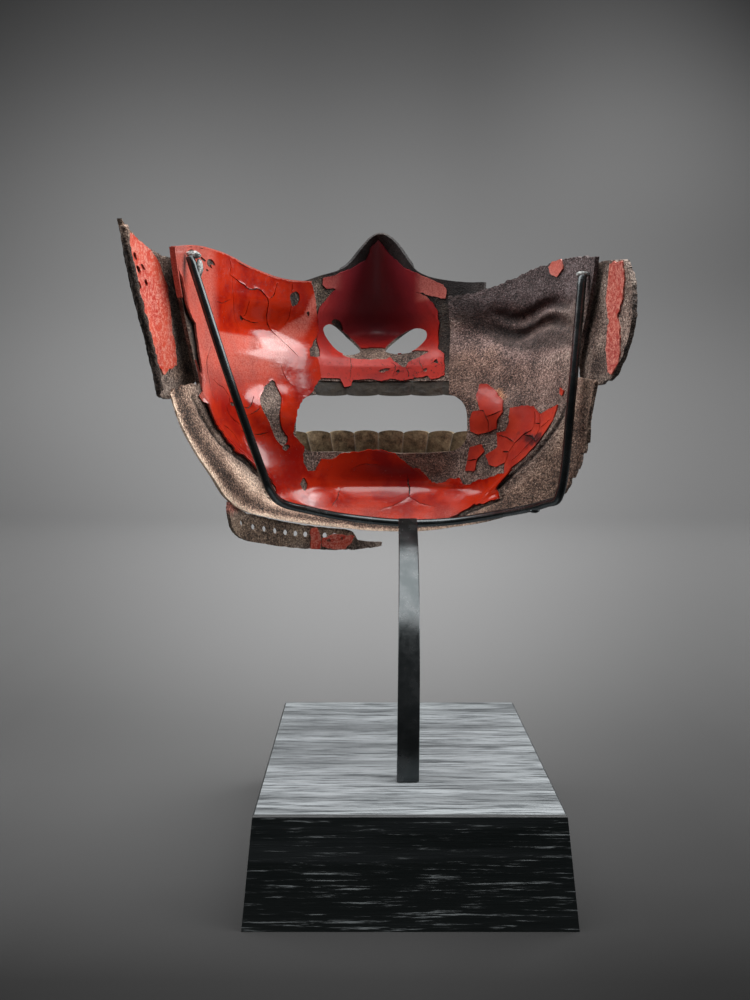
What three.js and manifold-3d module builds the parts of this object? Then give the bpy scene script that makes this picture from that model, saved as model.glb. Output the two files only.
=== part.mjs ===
// Samurai face guard (menpo) of beaten iron on its display stand, in millimetres.
// +Z is up and +Y is the way the face looks. The origin is the middle of the base block's underside.
// The guard's own middle plane is x = guard.middleX. A place on the guard is given by its turn, in
// degrees from the front (minus is the wearer's left, -X), and by its height z above the table.

import * as THREE from 'three';
import { mergeVertices } from 'three/addons/utils/BufferGeometryUtils.js';
import Module from 'manifold-3d';

const wasm = await Module();
wasm.setup();

// ---- Driving dimensions ----

const gap = 0.3; // clearance between neighbouring pieces
const base = { topSide: 100, footSide: 106, height: 35, topBevel: 0.6 };
const bar = {
  width: 7.7,
  thickness: 3,
  rise: [ // the middle of the bar's front face, as the four handles of one curve
    { x: 0.4, y: -27.5, z: 35.4 },
    { x: 0.9, y: -27, z: 75 },
    { x: 1.8, y: -14, z: 103 },
    { x: 3, y: 32, z: 118 },
  ],
  steps: 18,
};
const wire = { diameter: 3.2, sides: 10, steps: 72 };
const guard = { middleX: -9, thickness: 1.4, seam: 0.8 }; // seam: play under plates fastened outside

// ---- The guard's form ----

// Level sections of the bowl: each is half an oval, open towards the back.
// left and right are its half widths; back and front are its ends along y.
const levels = [
  { z: 248, left: 70, right: 72, back: -24, front: 55 },
  { z: 221, left: 72, right: 75, back: -27, front: 62 },
  { z: 197, left: 72, right: 75, back: -26, front: 64 },
  { z: 180, left: 70, right: 73, back: -24, front: 61 },
  { z: 166, left: 67, right: 71, back: -21, front: 58 },
  { z: 152, left: 63, right: 66, back: -17, front: 58 },
  { z: 140, left: 57, right: 61, back: -14, front: 61 },
  { z: 129, left: 51, right: 56, back: -9, front: 62.5 },
  { z: 124, left: 48, right: 53, back: -7, front: 58 },
  { z: 113, left: 43, right: 48, back: -5, front: 43 },
];

// Local pushes of the bowl, in mm outwards, each a soft round swelling.
const swellings = [
  { turn: -42, z: 198, turnReach: 26, zReach: 13, push: 4 },
  { turn: 42, z: 198, turnReach: 26, zReach: 13, push: 4 },
  { turn: -46, z: 163, turnReach: 16, zReach: 12, push: -3 },
  { turn: 46, z: 163, turnReach: 16, zReach: 12, push: -3 },
];

// Smile wrinkles beaten into the right cheek: each runs along its own wavy line.
const wrinkles = [
  { z: 203.5, wave: 2.0, push: 2.2, width: 2.6 },
  { z: 196.5, wave: 2.0, push: 2.2, width: 2.6 },
];
const wrinkleSpan = { from: 38, to: 76, fade: 9, waveLength: 26 };

// Stations round the plate, from the left ear to the right one. At each, the plate starts at its upper
// edge (topTurn, topZ), runs down the bowl to the jaw line (jawTurn, jawZ), and then turns out to the
// lip of its rim (lipX, lipY, lipZ).
const stations = [
  { at: 0, topTurn: -88, topZ: 220, jawTurn: -77.5, jawZ: 174, lipX: -83.8, lipY: -18, lipZ: 169.7 },
  { at: 1, topTurn: -82, topZ: 222, jawTurn: -76.5, jawZ: 161, lipX: -80.2, lipY: -17, lipZ: 158.6 },
  { at: 2, topTurn: -76, topZ: 224, jawTurn: -72, jawZ: 152, lipX: -75.3, lipY: -13, lipZ: 147.4 },
  { at: 3, topTurn: -68, topZ: 225.3, jawTurn: -67, jawZ: 143.5, lipX: -70.5, lipY: -8, lipZ: 138.6 },
  { at: 4, topTurn: -58, topZ: 225, jawTurn: -60, jawZ: 136.5, lipX: -66.3, lipY: 0, lipZ: 129.6 },
  { at: 5, topTurn: -47, topZ: 222, jawTurn: -52, jawZ: 127, lipX: -59.9, lipY: 13, lipZ: 122.7 },
  { at: 6, topTurn: -34, topZ: 219.5, jawTurn: -38, jawZ: 121, lipX: -41.5, lipY: 28, lipZ: 116.6 },
  { at: 7, topTurn: -18, topZ: 220, jawTurn: -18, jawZ: 117.5, lipX: -23.3, lipY: 37, lipZ: 113.2 },
  { at: 8, topTurn: 0, topZ: 220, jawTurn: 0, jawZ: 115, lipX: -9.3, lipY: 40, lipZ: 111.5 },
  { at: 9, topTurn: 18, topZ: 216, jawTurn: 18, jawZ: 115, lipX: 8.6, lipY: 40, lipZ: 111.5 },
  { at: 10, topTurn: 30, topZ: 214.5, jawTurn: 36, jawZ: 117, lipX: 23, lipY: 35, lipZ: 114 },
  { at: 11, topTurn: 42, topZ: 217, jawTurn: 50, jawZ: 122, lipX: 36.3, lipY: 25, lipZ: 117.9 },
  { at: 12, topTurn: 54, topZ: 220.5, jawTurn: 60, jawZ: 132, lipX: 49.9, lipY: 11, lipZ: 124.9 },
  { at: 13, topTurn: 64, topZ: 221.5, jawTurn: 66, jawZ: 141, lipX: 59.1, lipY: 0, lipZ: 130.8 },
  { at: 14, topTurn: 72, topZ: 221, jawTurn: 71, jawZ: 148.5, lipX: 62.5, lipY: -6, lipZ: 137.3 },
  { at: 15, topTurn: 80, topZ: 219.5, jawTurn: 75.5, jawZ: 157, lipX: 65.6, lipY: -11, lipZ: 147.2 },
  { at: 16, topTurn: 84, topZ: 218, jawTurn: 78, jawZ: 166, lipX: 65.4, lipY: -16, lipZ: 159.7 },
  { at: 17, topTurn: 88, topZ: 217, jawTurn: 79.5, jawZ: 176, lipX: 66.5, lipY: -21, lipZ: 172.8 },
];

const rimHandle = 0.25; // how far down the rim's bend is pulled, as a share of its drop
const plateGrid = { columnsEach: 3, bowlRows: 16, rimRows: 3 };

// The gap in the face plate, as seen from the front (x, z): the mouth, and the window above it.
const mouth = { left: -44.8, right: 29.2, bottom: 144.5, top: 170.2, corner: 9 };
const noseWindow = { left: -36.5, right: 22, bottom: 160, top: 240, corner: 0.5 };
const cutter = { from: 20, to: 100, cornerSegments: 5 }; // along y

// The nose plate's outline: the peak's edge, by x and z from left to right.
const nosePeak = [
  { x: -43, z: 220 },
  { x: -35, z: 223.3 },
  { x: -24, z: 227.8 },
  { x: -16, z: 237.5 },
  { x: -8.4, z: 243.3 },
  { x: -0.5, z: 238.3 },
  { x: 8, z: 226.4 },
  { x: 22, z: 221 },
  { x: 37, z: 218.7 },
];
const nosePlate = { left: -43, right: 37, bottom: 176.2, middleX: -9.5, across: 24, rows: 22 };
const noseTab = { left: 28, right: 60, bottom: 150, top: 213, corner: 1 }; // cut away under the tab
const noseForm = [ // half width and rise of the nose above the plate, by height
  { z: 246, halfWidth: 10, rise: 4 },
  { z: 236, halfWidth: 13, rise: 9 },
  { z: 222, halfWidth: 18, rise: 15 },
  { z: 211, halfWidth: 23, rise: 20.5 },
  { z: 204, halfWidth: 27, rise: 23.5 },
  { z: 198.5, halfWidth: 29, rise: 21.5 },
  { z: 193, halfWidth: 30, rise: 12.5 },
  { z: 187, halfWidth: 30, rise: 3 },
  { z: 183, halfWidth: 30, rise: 0 },
];
const noseWings = [ // the flared sides of the nose, over the nostrils
  { x: -28, z: 198, xReach: 13, zReach: 12, push: 3 },
  { x: 9, z: 198, xReach: 13, zReach: 12, push: 3 },
];
// Nostril outlines (x, z), which aren't quite mirror images.
const nostrilCorners = 16;
const leftNostril = [
  { x: -34.6, z: 200.5 },
  { x: -30.8, z: 203 },
  { x: -23.6, z: 198.8 },
  { x: -17, z: 191.4 },
  { x: -21, z: 188.4 },
  { x: -27, z: 189.4 },
  { x: -32.4, z: 195 },
];
const rightNostril = [
  { x: -5.8, z: 191.4 },
  { x: 0.3, z: 197.9 },
  { x: 8, z: 201.6 },
  { x: 13.2, z: 200.2 },
  { x: 13.6, z: 196 },
  { x: 8.6, z: 190.9 },
  { x: 3.4, z: 189.2 },
  { x: -2, z: 189.1 },
];

// Teeth strips, bent along the lips from one turn to another.
const teeth = {
  columnsEach: 5,
  rows: 3,
  upper: { from: -34, to: 34, bottom: 169.4, top: 175.9, thickness: 1.6, count: 6, scallop: 0.7, edge: 'bottom' },
  lower: { from: -38, to: 38, bottom: 142.5, top: 153.9, thickness: 2, count: 8, scallop: 1.3, edge: 'top' },
};

// Ear flanges: sections from the top down, each a bend from its front edge through the pull of a
// middle handle to its back edge.
const flangeGrid = { rowsEach: 2, columns: 6 };
const earLeft = {
  thickness: 1.3,
  sections: [
    { at: 0, x: [-82, -88.6, -92.7], y: [-2, -25, -46], z: [220, 215, 225] },
    { at: 1, x: [-81.6, -87.6, -91.6], y: [0, -20, -40], z: [206, 205, 210] },
    { at: 2, x: [-81.3, -87, -90], y: [2, -16, -34], z: [193, 193, 197] },
    { at: 3, x: [-78.3, -86.6, -88.4], y: [8, -13, -26], z: [179, 179, 183] },
    { at: 4, x: [-81, -87.6, -86.8], y: [2, -14, -20], z: [171, 164.5, 169] },
  ],
};
const earRight = {
  thickness: 1.3,
  sections: [
    { at: 0, x: [65.9, 70.4, 71.2], y: [-2, -24, -41], z: [217.5, 216, 212.5] },
    { at: 1, x: [65.9, 70.6, 72.4], y: [-1, -23, -44], z: [206, 206, 205] },
    { at: 2, x: [65.6, 70.6, 72.6], y: [0, -22, -44], z: [197, 196, 194] },
    { at: 3, x: [65, 70, 72], y: [-2, -21, -38], z: [186, 184, 183] },
    { at: 4, x: [65.7, 69.8, 70.3], y: [-5, -20, -31], z: [173.5, 170, 175.5] },
  ],
};

// The lacing strip under the left of the chin, by stations from its left end to the broken right one.
const lacingStrip = {
  thickness: 1.3,
  stations: [
    { x: -66.2, y: 1.5, top: 128.6, bottom: 125 },
    { x: -65.4, y: 5, top: 127.2, bottom: 118 },
    { x: -62.6, y: 10.5, top: 123.8, bottom: 113 },
    { x: -56.3, y: 17.5, top: 120.8, bottom: 110 },
    { x: -45.3, y: 26.5, top: 116.9, bottom: 106.7 },
    { x: -29.7, y: 35.5, top: 113.4, bottom: 104.2 },
    { x: -20.4, y: 39, top: 111.6, bottom: 103.6 },
    { x: -17.5, y: 39.7, top: 107.8, bottom: 103.6 },
    { x: -7.5, y: 41.5, top: 106.5, bottom: 104.9 },
  ],
  holes: { count: 10, diameter: 2.4, firstX: -62.6, lastX: -27.6, above: 6 }, // above the lower edge
  columns: 30,
  rows: 3,
};

// Wire cradle: its middle line from the left end to the right end.
const wirePath = [
  { x: -77.8, y: -13, z: 218.6 },
  { x: -64.6, y: -9, z: 176 },
  { x: -53.4, y: -1, z: 140.7 },
  { x: -50.3, y: 4, z: 131.5 },
  { x: -46.5, y: 11, z: 126.6 },
  { x: -38, y: 20.5, z: 123 },
  { x: -22.9, y: 29.5, z: 118.8 },
  { x: 0, y: 34, z: 115.9 },
  { x: 20.4, y: 30.5, z: 116.9 },
  { x: 39.4, y: 19, z: 121.6 },
  { x: 53.5, y: 2, z: 127.5 },
  { x: 58.2, y: -6, z: 134 },
  { x: 59.9, y: -14, z: 167 },
  { x: 63.3, y: -16.5, z: 211.4 },
];

// ---- Helpers ----

const radians = THREE.MathUtils.degToRad;
const lerp = THREE.MathUtils.lerp;

// Smooth value of one column of a table, at a place along its key column.
function smooth(table, key, place, column) {
  const rising = table.at(-1)[key] > table[0][key];
  const rows = rising ? table : [...table].reverse();
  const at = THREE.MathUtils.clamp(place, rows[0][key], rows.at(-1)[key]);
  let i = rows.findIndex((row, n) => n > 0 && at <= row[key]) - 1;
  if (i < 0) i = 0;
  const slope = (a, b) => (rows[b][column] - rows[a][column]) / (rows[b][key] - rows[a][key]);
  const startSlope = slope(Math.max(i - 1, 0), i + 1);
  const endSlope = slope(i, Math.min(i + 2, rows.length - 1));
  const span = rows[i + 1][key] - rows[i][key];
  const f = (at - rows[i][key]) / span;
  const f2 = f * f;
  const f3 = f2 * f;
  return (
    (2 * f3 - 3 * f2 + 1) * rows[i][column] +
    (f3 - 2 * f2 + f) * span * startSlope +
    (3 * f2 - 2 * f3) * rows[i + 1][column] +
    (f3 - f2) * span * endSlope
  );
}

// A round hump that is 1 in its middle and 0 at the end of its reach.
function hump(distance, reach) {
  const r = Math.min(Math.abs(distance) / reach, 1);
  return Math.cos((r * Math.PI) / 2) ** 2;
}

// A solid made from a grid of points on its hollow side and the same grid raised by a thickness.
// outward gives a rough direction that tells which side the thickness is on. grown fattens it all round.
function sheetSolid(grid, thickness, outward, grown = 0) {
  const rows = grid.length;
  const columns = grid[0].length;
  const normals = grid.map((line, i) =>
    line.map((point, j) => {
      const down = grid[Math.min(i + 1, rows - 1)][j].clone().sub(grid[Math.max(i - 1, 0)][j]);
      const across = line[Math.min(j + 1, columns - 1)].clone().sub(line[Math.max(j - 1, 0)]);
      const normal = across.cross(down).normalize();
      return normal.dot(outward(point)) < 0 ? normal.negate() : normal;
    }),
  );
  const offset = (by) => grid.flatMap((line, i) => line.map((p, j) => p.clone().addScaledVector(normals[i][j], by)));
  const points = [...offset(-grown), ...offset(thickness + grown)];
  const inner = (i, j) => i * columns + j;
  const outer = (i, j) => rows * columns + i * columns + j;
  const faces = [];
  const quad = (a, b, c, d) => faces.push(a, b, c, a, c, d);
  for (let i = 0; i < rows - 1; i++) {
    for (let j = 0; j < columns - 1; j++) {
      quad(inner(i, j), inner(i, j + 1), inner(i + 1, j + 1), inner(i + 1, j));
      quad(outer(i, j), outer(i + 1, j), outer(i + 1, j + 1), outer(i, j + 1));
    }
  }
  for (let j = 0; j < columns - 1; j++) {
    quad(inner(0, j), outer(0, j), outer(0, j + 1), inner(0, j + 1));
    quad(inner(rows - 1, j), inner(rows - 1, j + 1), outer(rows - 1, j + 1), outer(rows - 1, j));
  }
  for (let i = 0; i < rows - 1; i++) {
    quad(inner(i, 0), inner(i + 1, 0), outer(i + 1, 0), outer(i, 0));
    quad(inner(i, columns - 1), outer(i, columns - 1), outer(i + 1, columns - 1), inner(i + 1, columns - 1));
  }
  return facingOut(points, faces);
}

// A closed geometry from points and triangle corners, turned inside out if it needs to be.
function facingOut(points, faces) {
  let volume = 0;
  for (let i = 0; i < faces.length; i += 3) {
    const [a, b, c] = [points[faces[i]], points[faces[i + 1]], points[faces[i + 2]]];
    volume += a.dot(b.clone().cross(c));
  }
  if (volume < 0) faces.reverse();
  const geometry = new THREE.BufferGeometry().setFromPoints(points);
  geometry.setIndex(faces);
  return geometry;
}

// Boolean joins and cuts.
function toManifold(geometry) {
  const bare = geometry.clone();
  bare.deleteAttribute('normal');
  bare.deleteAttribute('uv');
  const merged = mergeVertices(bare, 1e-4);
  return new wasm.Manifold(
    new wasm.Mesh({
      numProp: 3,
      vertProperties: new Float32Array(merged.attributes.position.array),
      triVerts: new Uint32Array(merged.index.array),
    }),
  );
}
function fromManifold(solid) {
  const mesh = solid.getMesh();
  const geometry = new THREE.BufferGeometry();
  geometry.setAttribute('position', new THREE.BufferAttribute(mesh.vertProperties, 3));
  geometry.setIndex(new THREE.BufferAttribute(mesh.triVerts, 1));
  return geometry;
}
// Cuts every cutter away and keeps the largest piece of what is left.
function cut(geometry, cutters) {
  let solid = toManifold(geometry);
  for (const cutter of cutters) solid = solid.subtract(toManifold(cutter));
  const pieces = solid.decompose().sort((a, b) => b.volume() - a.volume());
  return fromManifold(pieces[0]);
}

// An outline drawn as seen from the front (x, z), pushed along y through the guard.
function frontCutter(shape) {
  const geometry = new THREE.ExtrudeGeometry(shape, {
    depth: cutter.to - cutter.from,
    curveSegments: cutter.cornerSegments,
    bevelEnabled: false,
  });
  return geometry.rotateX(Math.PI / 2).translate(0, cutter.to, 0);
}
function roundedBox({ left, right, bottom, top, corner }) {
  const shape = new THREE.Shape();
  shape.absarc(right - corner, top - corner, corner, 0, Math.PI / 2);
  shape.absarc(left + corner, top - corner, corner, Math.PI / 2, Math.PI);
  shape.absarc(left + corner, bottom + corner, corner, Math.PI, 1.5 * Math.PI);
  shape.absarc(right - corner, bottom + corner, corner, 1.5 * Math.PI, 2 * Math.PI);
  return shape;
}
function smoothOutline(points, corners) {
  const loop = points.map(({ x, z }) => new THREE.Vector3(x, z, 0));
  const round = new THREE.CatmullRomCurve3(loop, true).getPoints(corners).slice(0, -1);
  return new THREE.Shape(round.map(({ x, y }) => new THREE.Vector2(x, y)));
}

// ---- The bowl's surface ----

function wrinkleLift(turn, z) {
  const { from, to, fade, waveLength } = wrinkleSpan;
  if (turn < from || turn > to) return 0;
  const ends = Math.min(1, (turn - from) / fade, (to - turn) / fade);
  return wrinkles.reduce((sum, { z: level, wave, push, width }) => {
    const line = level + wave * Math.cos(((turn - from) / waveLength) * 2 * Math.PI);
    return sum + push * ends * Math.exp(-(((z - line) / width) ** 2));
  }, 0);
}

// A point of the bowl's hollow side, raised outwards by lift.
function bowlPoint(turn, z, lift = 0) {
  const side = smooth(levels, 'z', z, turn < 0 ? 'left' : 'right');
  const back = smooth(levels, 'z', z, 'back');
  const depth = smooth(levels, 'z', z, 'front') - back;
  const angle = radians(turn);
  const normal = new THREE.Vector2(Math.sin(angle) / side, Math.cos(angle) / depth).normalize();
  const swell = swellings.reduce(
    (sum, s) => sum + s.push * hump(turn - s.turn, s.turnReach) * hump(z - s.z, s.zReach),
    0,
  );
  const out = swell + wrinkleLift(turn, z) + lift;
  return new THREE.Vector3(
    guard.middleX + side * Math.sin(angle) + normal.x * out,
    back + depth * Math.cos(angle) + normal.y * out,
    z,
  );
}

// The turn at which the raised bowl passes a given x at height z.
function turnAt(x, z, lift) {
  let low = -85;
  let high = 85;
  for (let i = 0; i < 30; i++) {
    const middle = (low + high) / 2;
    if (bowlPoint(middle, z, lift).x < x) low = middle;
    else high = middle;
  }
  return (low + high) / 2;
}

const fromMiddle = (point) => new THREE.Vector3(point.x - guard.middleX, point.y, 0);

// How far a plate that is fastened outside the bowl stands off the bowl's hollow side.
const lipLift = guard.thickness + guard.seam;

// ---- Sub-parts ----

// The face plate before its openings are cut, fattened all round by grown.
function plateBlank(grown = 0) {
  const { columnsEach, bowlRows, rimRows } = plateGrid;
  const columns = (stations.length - 1) * columnsEach;
  const grid = [];
  for (let row = 0; row <= bowlRows + rimRows; row++) {
    const down = Math.min(row / bowlRows, 1);
    const outwards = Math.max(row - bowlRows, 0) / rimRows;
    const line = [];
    for (let column = 0; column <= columns; column++) {
      const at = (name) => smooth(stations, 'at', column / columnsEach, name);
      const turn = lerp(at('topTurn'), at('jawTurn'), Math.sin((down * Math.PI) / 2));
      const point = bowlPoint(turn, lerp(at('topZ'), at('jawZ'), down));
      const lip = new THREE.Vector3(at('lipX'), at('lipY'), at('lipZ'));
      const handle = new THREE.Vector3(lip.x, lip.y, lerp(point.z, lip.z, rimHandle));
      line.push(new THREE.QuadraticBezierCurve3(point, handle, lip).getPoint(outwards));
    }
    grid.push(line);
  }
  return sheetSolid(grid, guard.thickness, fromMiddle, grown);
}

function facePlate() {
  return cut(plateBlank(), [
    frontCutter(roundedBox(mouth)),
    frontCutter(roundedBox(noseWindow)),
  ]);
}

function nosePlateSolid() {
  const { left, right, bottom, middleX, across, rows } = nosePlate;
  const grid = [];
  for (let row = 0; row <= rows; row++) {
    const line = [];
    for (let column = 0; column <= across; column++) {
      const x = lerp(left, right, column / across);
      const z = lerp(smooth(nosePeak, 'x', x, 'z'), bottom, row / rows);
      const point = bowlPoint(turnAt(x, z, lipLift), z, lipLift);
      const reach = smooth(noseForm, 'z', z, 'halfWidth');
      point.y += Math.max(smooth(noseForm, 'z', z, 'rise'), 0) * hump(x - middleX, reach);
      for (const wing of noseWings) {
        point.y += wing.push * hump(x - wing.x, wing.xReach) * hump(z - wing.z, wing.zReach);
      }
      line.push(point);
    }
    grid.push(line);
  }
  const plate = sheetSolid(grid, guard.thickness, fromMiddle);
  return cut(plate, [
    frontCutter(smoothOutline(leftNostril, nostrilCorners)),
    frontCutter(smoothOutline(rightNostril, nostrilCorners)),
    frontCutter(roundedBox(noseTab)),
  ]);
}

// A row of teeth lying outside the plate, scalloped along the edge that shows.
function teethStrip({ from, to, bottom, top, thickness, count, scallop, edge }) {
  const { columnsEach, rows } = teeth;
  const grid = [];
  for (let row = 0; row <= rows; row++) {
    const line = [];
    for (let column = 0; column <= count * columnsEach; column++) {
      const share = column / (count * columnsEach);
      const crown = Math.sqrt(Math.abs(Math.sin(share * count * Math.PI))) * scallop;
      const high = edge === 'top' ? top - scallop + crown : top;
      const low = edge === 'bottom' ? bottom + scallop - crown : bottom;
      const z = lerp(high, low, row / rows);
      line.push(bowlPoint(lerp(from, to, share), z, lipLift + crown));
    }
    grid.push(line);
  }
  return sheetSolid(grid, thickness, fromMiddle);
}

function earFlange({ thickness, sections }) {
  const { rowsEach, columns } = flangeGrid;
  const rows = (sections.length - 1) * rowsEach;
  const grid = [];
  for (let row = 0; row <= rows; row++) {
    const handle = (n) =>
      new THREE.Vector3(
        ...['x', 'y', 'z'].map((axis) => {
          const column = sections.map((section) => ({ at: section.at, value: section[axis][n] }));
          return smooth(column, 'at', row / rowsEach, 'value');
        }),
      );
    grid.push(new THREE.QuadraticBezierCurve3(handle(0), handle(1), handle(2)).getPoints(columns));
  }
  const flange = sheetSolid(grid, thickness, (point) => new THREE.Vector3(point.x - guard.middleX, 0, 0));
  return cut(flange, [plateBlank(gap)]);
}

function throatFlange() {
  const { thickness, stations, holes, columns, rows } = lacingStrip;
  const first = stations[0].x;
  const last = stations.at(-1).x;
  const pointAt = (x, height) =>
    new THREE.Vector3(
      x,
      smooth(stations, 'x', x, 'y'),
      lerp(smooth(stations, 'x', x, 'top'), smooth(stations, 'x', x, 'bottom'), height),
    );
  const grid = [];
  for (let row = 0; row <= rows; row++) {
    const line = [];
    for (let column = 0; column <= columns; column++) {
      line.push(pointAt(lerp(first, last, column / columns), row / rows));
    }
    grid.push(line);
  }
  const strip = sheetSolid(grid, thickness, fromMiddle);
  const drills = [];
  for (let n = 0; n < holes.count; n++) {
    const x = lerp(holes.firstX, holes.lastX, n / (holes.count - 1));
    const place = pointAt(x, 1);
    const along = pointAt(x + 1, 1).sub(place);
    const drill = new THREE.CylinderGeometry(holes.diameter / 2, holes.diameter / 2, 6 * thickness, 8);
    drill.rotateZ(Math.atan2(along.y, along.x));
    drills.push(drill.translate(place.x, place.y, place.z + holes.above));
  }
  return cut(strip, [...drills, plateBlank(gap)]);
}

function holderFrame() {
  const arms = new THREE.CatmullRomCurve3(
    wirePath.map(({ x, y, z }) => new THREE.Vector3(x, y, z)),
    false,
    'centripetal',
  );
  const round = new THREE.Shape();
  round.absarc(0, 0, wire.diameter / 2, 0, 2 * Math.PI);
  const cradle = new THREE.ExtrudeGeometry(round, {
    steps: wire.steps,
    curveSegments: wire.sides / 2,
    extrudePath: arms,
  });
  const handles = bar.rise.map(({ x, y, z }) => new THREE.Vector3(x, y, z));
  const face = new THREE.CubicBezierCurve3(...handles);
  const grid = [];
  for (const across of [-1, 1]) {
    const line = [];
    for (let step = 0; step <= bar.steps; step++) {
      const middle = face.getPoint(step / bar.steps);
      line.push(middle.add(new THREE.Vector3((across * bar.width) / 2, 0, 0)));
    }
    grid.push(line);
  }
  const strap = sheetSolid(grid, bar.thickness, () => new THREE.Vector3(0, 1, -1));
  return fromManifold(toManifold(cradle).add(toManifold(strap)));
}

function baseBlock() {
  const { topSide, footSide, height, topBevel } = base;
  const profile = [
    [0, 0],
    [footSide / 2, 0],
    [topSide / 2, height - topBevel],
    [topSide / 2 - topBevel, height],
    [0, height],
  ].map(([half, z]) => new THREE.Vector2(half * Math.SQRT2, z));
  return new THREE.LatheGeometry(profile, 4).rotateY(Math.PI / 4).rotateX(Math.PI / 2);
}

// ---- Assembly ----

const lacquered = { color: 0xa8200f, roughness: 0.35, metalness: 0 };
const rusty = { color: 0x5a463b, roughness: 0.9, metalness: 0.3 };
const blackened = { color: 0x17191b, roughness: 0.35, metalness: 0.6 };
const stainedWood = { color: 0x1c1f20, roughness: 0.5, metalness: 0 };

const object = new THREE.Group();
function addPiece(name, geometry, look) {
  const mesh = new THREE.Mesh(geometry, new THREE.MeshStandardMaterial(look));
  mesh.name = name;
  object.add(mesh);
}

addPiece('face_plate', facePlate(), lacquered);
addPiece('nose_plate', nosePlateSolid(), lacquered);
addPiece('upper_teeth', teethStrip(teeth.upper), rusty);
addPiece('lower_teeth', teethStrip(teeth.lower), rusty);
addPiece('ear_flange_left', earFlange(earLeft), rusty);
addPiece('ear_flange_right', earFlange(earRight), rusty);
addPiece('throat_flange', throatFlange(), rusty);
addPiece('holder_frame', holderFrame(), blackened);
addPiece('base_block', baseBlock(), stainedWood);

export default object;
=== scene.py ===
"""Samurai face guard of rusted iron with worn red lacquer, on its display stand.

Sizes are in millimetres until a mesh is made. A place on the face plate is (station, row): stations run
round the plate from the left ear (0) to the right one (17), and rows run down it from the upper edge (0)
over the jaw line (16) to the lip of the rim (19).
"""

import math

import bpy
import numpy as np
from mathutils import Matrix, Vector
from mathutils.geometry import delaunay_2d_cdt
from mathutils.kdtree import KDTree


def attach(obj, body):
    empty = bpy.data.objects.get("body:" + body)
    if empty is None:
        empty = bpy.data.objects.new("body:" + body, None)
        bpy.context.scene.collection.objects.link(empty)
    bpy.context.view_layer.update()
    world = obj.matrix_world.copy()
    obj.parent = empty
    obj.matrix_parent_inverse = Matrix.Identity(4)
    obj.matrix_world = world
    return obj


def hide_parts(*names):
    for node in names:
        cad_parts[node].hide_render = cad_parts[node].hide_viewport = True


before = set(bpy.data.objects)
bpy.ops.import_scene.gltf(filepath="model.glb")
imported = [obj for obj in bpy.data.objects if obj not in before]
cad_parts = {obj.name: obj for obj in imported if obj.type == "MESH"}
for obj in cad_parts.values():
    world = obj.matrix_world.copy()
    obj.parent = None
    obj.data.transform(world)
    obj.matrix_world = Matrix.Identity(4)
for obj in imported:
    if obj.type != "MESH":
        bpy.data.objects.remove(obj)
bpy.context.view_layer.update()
MM = 0.001


# ---- The guard's form, as the solids have it ----


def table(names, *rows):
    return {name: np.array(column, float) for name, column in zip(names.split(), zip(*rows))}


MIDDLE = -9.0
THICKNESS = 1.4
STAND_OFF = 2.2
BOWL_ROWS, ROWS, LAST_STATION = 16, 19, 17
LEVELS = table(
    "z left right back front",
    (113, 43, 48, -5, 43),
    (124, 48, 53, -7, 58),
    (129, 51, 56, -9, 62.5),
    (140, 57, 61, -14, 61),
    (152, 63, 66, -17, 58),
    (166, 67, 71, -21, 58),
    (180, 70, 73, -24, 61),
    (197, 72, 75, -26, 64),
    (221, 72, 75, -27, 62),
    (248, 70, 72, -24, 55),
)
SWELLINGS = [  # turn, z, how far it reaches in turn and z, push
    (-42, 198, 26, 13, 4),
    (42, 198, 26, 13, 4),
    (-46, 163, 16, 12, -3),
    (46, 163, 16, 12, -3),
]
WRINKLE_HEIGHTS = [203.5, 196.5]
WRINKLE = {"from": 38, "to": 76, "fade": 9, "wave": 2.0, "wave_length": 26, "push": 2.2, "width": 2.6}
STATIONS = table(
    "at top_turn top_z jaw_turn jaw_z lip_x lip_y lip_z",
    (0, -88, 220, -77.5, 174, -83.8, -18, 169.7),
    (1, -82, 222, -76.5, 161, -80.2, -17, 158.6),
    (2, -76, 224, -72, 152, -75.3, -13, 147.4),
    (3, -68, 225.3, -67, 143.5, -70.5, -8, 138.6),
    (4, -58, 225, -60, 136.5, -66.3, 0, 129.6),
    (5, -47, 222, -52, 127, -59.9, 13, 122.7),
    (6, -34, 219.5, -38, 121, -41.5, 28, 116.6),
    (7, -18, 220, -18, 117.5, -23.3, 37, 113.2),
    (8, 0, 220, 0, 115, -9.3, 40, 111.5),
    (9, 18, 216, 18, 115, 8.6, 40, 111.5),
    (10, 30, 214.5, 36, 117, 23, 35, 114),
    (11, 42, 217, 50, 122, 36.3, 25, 117.9),
    (12, 54, 220.5, 60, 132, 49.9, 11, 124.9),
    (13, 64, 221.5, 66, 141, 59.1, 0, 130.8),
    (14, 72, 221, 71, 148.5, 62.5, -6, 137.3),
    (15, 80, 219.5, 75.5, 157, 65.6, -11, 147.2),
    (16, 84, 218, 78, 166, 65.4, -16, 159.7),
    (17, 88, 217, 79.5, 176, 66.5, -21, 172.8),
)
RIM_HANDLE = 0.25
MOUTH = {"left": -44.8, "right": 29.2, "bottom": 144.5, "top": 170.2, "corner": 9}
WINDOW = {"left": -36.5, "right": 22, "bottom": 160, "top": 240}
PEAK = table(
    "x z",
    (-43, 220), (-35, 223.3), (-24, 227.8), (-16, 237.5), (-12.3, 241.6), (-8.4, 243.3), (-4.4, 242),
    (-0.5, 238.3), (8, 226.4), (22, 221), (37, 218.7),
)
NOSE_PLATE = {"left": -43, "right": 37, "bottom": 176.2, "middle": -9.5, "tab_left": 28, "tab_bottom": 213}
NOSE = table(
    "z half_width rise",
    (183, 30, 0), (187, 30, 3), (193, 30, 12.5), (198.5, 29, 21.5), (204, 27, 23.5), (211, 23, 20.5),
    (222, 18, 15), (236, 13, 9), (246, 10, 4),
)
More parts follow.
